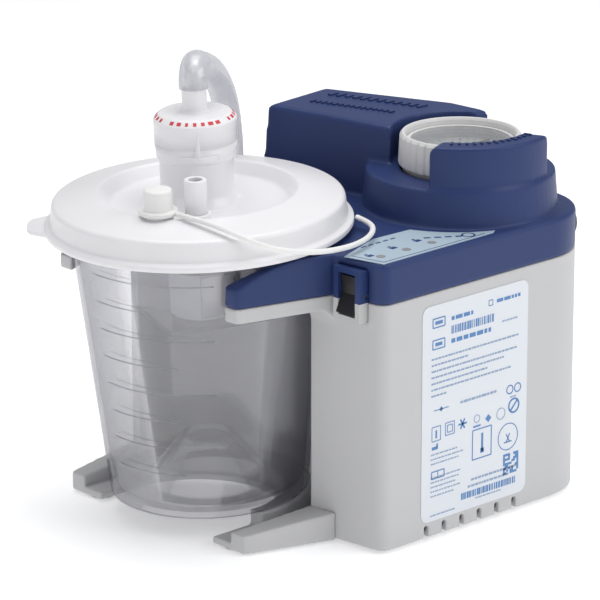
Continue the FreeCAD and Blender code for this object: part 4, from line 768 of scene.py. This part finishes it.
# faint raised graduation lines on the canister
for number in range(8):
    height = 32 + 12.6 * number
    radius = (JAR_FOOT_RADIUS + (height - FOOT) / (RIM - BEAD - FOOT)
              * (JAR_RIM_RADIUS - JAR_FOOT_RADIUS))
    spread = 62 if number % 2 else 44
    corners, faces = [], [(0, 1, 2), (74, 73, 72)]
    for step in range(25):
        angle = math.radians(172 + spread * step / 24)
        for reach, rise in ((-0.05, -0.32), (0.22, 0), (-0.05, 0.32)):
            corners.append(((radius + reach) * math.cos(angle), (radius + reach) * math.sin(angle),
                            height + rise))
    for step in range(24):
        faces += [(3 * step, 3 * step + 3, 3 * step + 4, 3 * step + 1),
                  (3 * step + 1, 3 * step + 4, 3 * step + 5, 3 * step + 2),
                  (3 * step + 2, 3 * step + 5, 3 * step + 3, 3 * step)]
    add("graduation_%d" % (number + 1), corners, faces, JAR, "canister", LEANED)

# the dial's scale
SCALE = []
for number in range(28):
    angle = math.radians(225 - 10 * number)
    long_mark = number % 3 == 0
    SCALE.append((Matrix.Translation(KNOB) @ Matrix.Rotation(angle, 4, "Z")
                  @ Matrix.Translation((18.6 if long_mark else 19.2, 0, DIAL_TOP)),
                  (3 if long_mark else 1.6, 0.5 if long_mark else 0.3, FILM_MARK)))
marks("dial_scale", SCALE, BLACK, "pump")

# ---------------------------------------------------------------- stage, light and camera

floor_mesh = bpy.data.meshes.new("floor")
floor_mesh.from_pydata([(-6, -6, 0), (6, -6, 0), (6, 6, 0), (-6, 6, 0)], [], [(0, 1, 2, 3)])
floor = bpy.data.objects.new("floor", floor_mesh)
bpy.context.scene.collection.objects.link(floor)
FLOOR = plastic("pale_floor", (252, 252, 252), 0.9, grain=20, depth=0.0, mottle=0.0)
floor_face = FLOOR.node_tree.nodes["Principled BSDF"]
floor_face.inputs["Specular IOR Level"].default_value = 0
floor_face.inputs["Emission Color"].default_value = (1, 1, 1, 1)
floor_face.inputs["Emission Strength"].default_value = FLOOR_GLOW
floor_mesh.materials.append(FLOOR)

# the backdrop is white to the camera, and lights the object more weakly
world = bpy.data.worlds.new("studio")
world.use_nodes = True
sky = world.node_tree
seen = sky.nodes["Background"]
seen.inputs["Color"].default_value = (1, 1, 1, 1)
seen.inputs["Strength"].default_value = 1.0
dim = sky.nodes.new("ShaderNodeBackground")
dim.inputs["Color"].default_value = (0.96, 0.97, 1, 1)
dim.inputs["Strength"].default_value = AMBIENT
path = sky.nodes.new("ShaderNodeLightPath")
choice = sky.nodes.new("ShaderNodeMixShader")
sky.links.new(path.outputs["Is Camera Ray"], choice.inputs["Fac"])
sky.links.new(dim.outputs["Background"], choice.inputs[1])
sky.links.new(seen.outputs["Background"], choice.inputs[2])
sky.links.new(choice.outputs["Shader"], sky.nodes["World Output"].inputs["Surface"])
bpy.context.scene.world = world


def lamp(name, spot, target, wide, high, power):
    data = bpy.data.lights.new(name, "AREA")
    data.shape = "RECTANGLE"
    data.size = wide
    data.size_y = high
    data.energy = power
    made = bpy.data.objects.new(name, data)
    bpy.context.scene.collection.objects.link(made)
    made.location = spot
    made.rotation_euler = (Vector(target) - Vector(spot)).to_track_quat("-Z", "Y").to_euler()


lamp("key", (0.45, -1.05, 0.75), (0, 0, 0.1), 0.8, 0.6, KEY_POWER)
lamp("top", (0.1, 0.1, 1.3), (0, 0, 0.1), 1.0, 1.0, TOP_POWER)
lamp("side", (-1.1, 0.1, 0.5), (0, 0, 0.1), 0.5, 0.8, SIDE_POWER)

camera_data = bpy.data.cameras.new("camera")
camera = bpy.data.objects.new("camera", camera_data)
bpy.context.scene.collection.objects.link(camera)
bpy.context.scene.camera = camera
camera_data.sensor_width = SENSOR
camera_data.lens = LENS
camera_data.shift_y = SHIFT_UP
camera_data.clip_end = 50
right = Vector(CAMERA_RIGHT).normalized()
back = Vector(CAMERA_BACK).normalized()
up = back.cross(right).normalized()
right = up.cross(back)
camera.matrix_world = Matrix.Translation(put(*CAMERA_SPOT)) @ Matrix(
    (right, up, back)).transposed().to_4x4()
bpy.context.scene.view_settings.view_transform = "Standard"
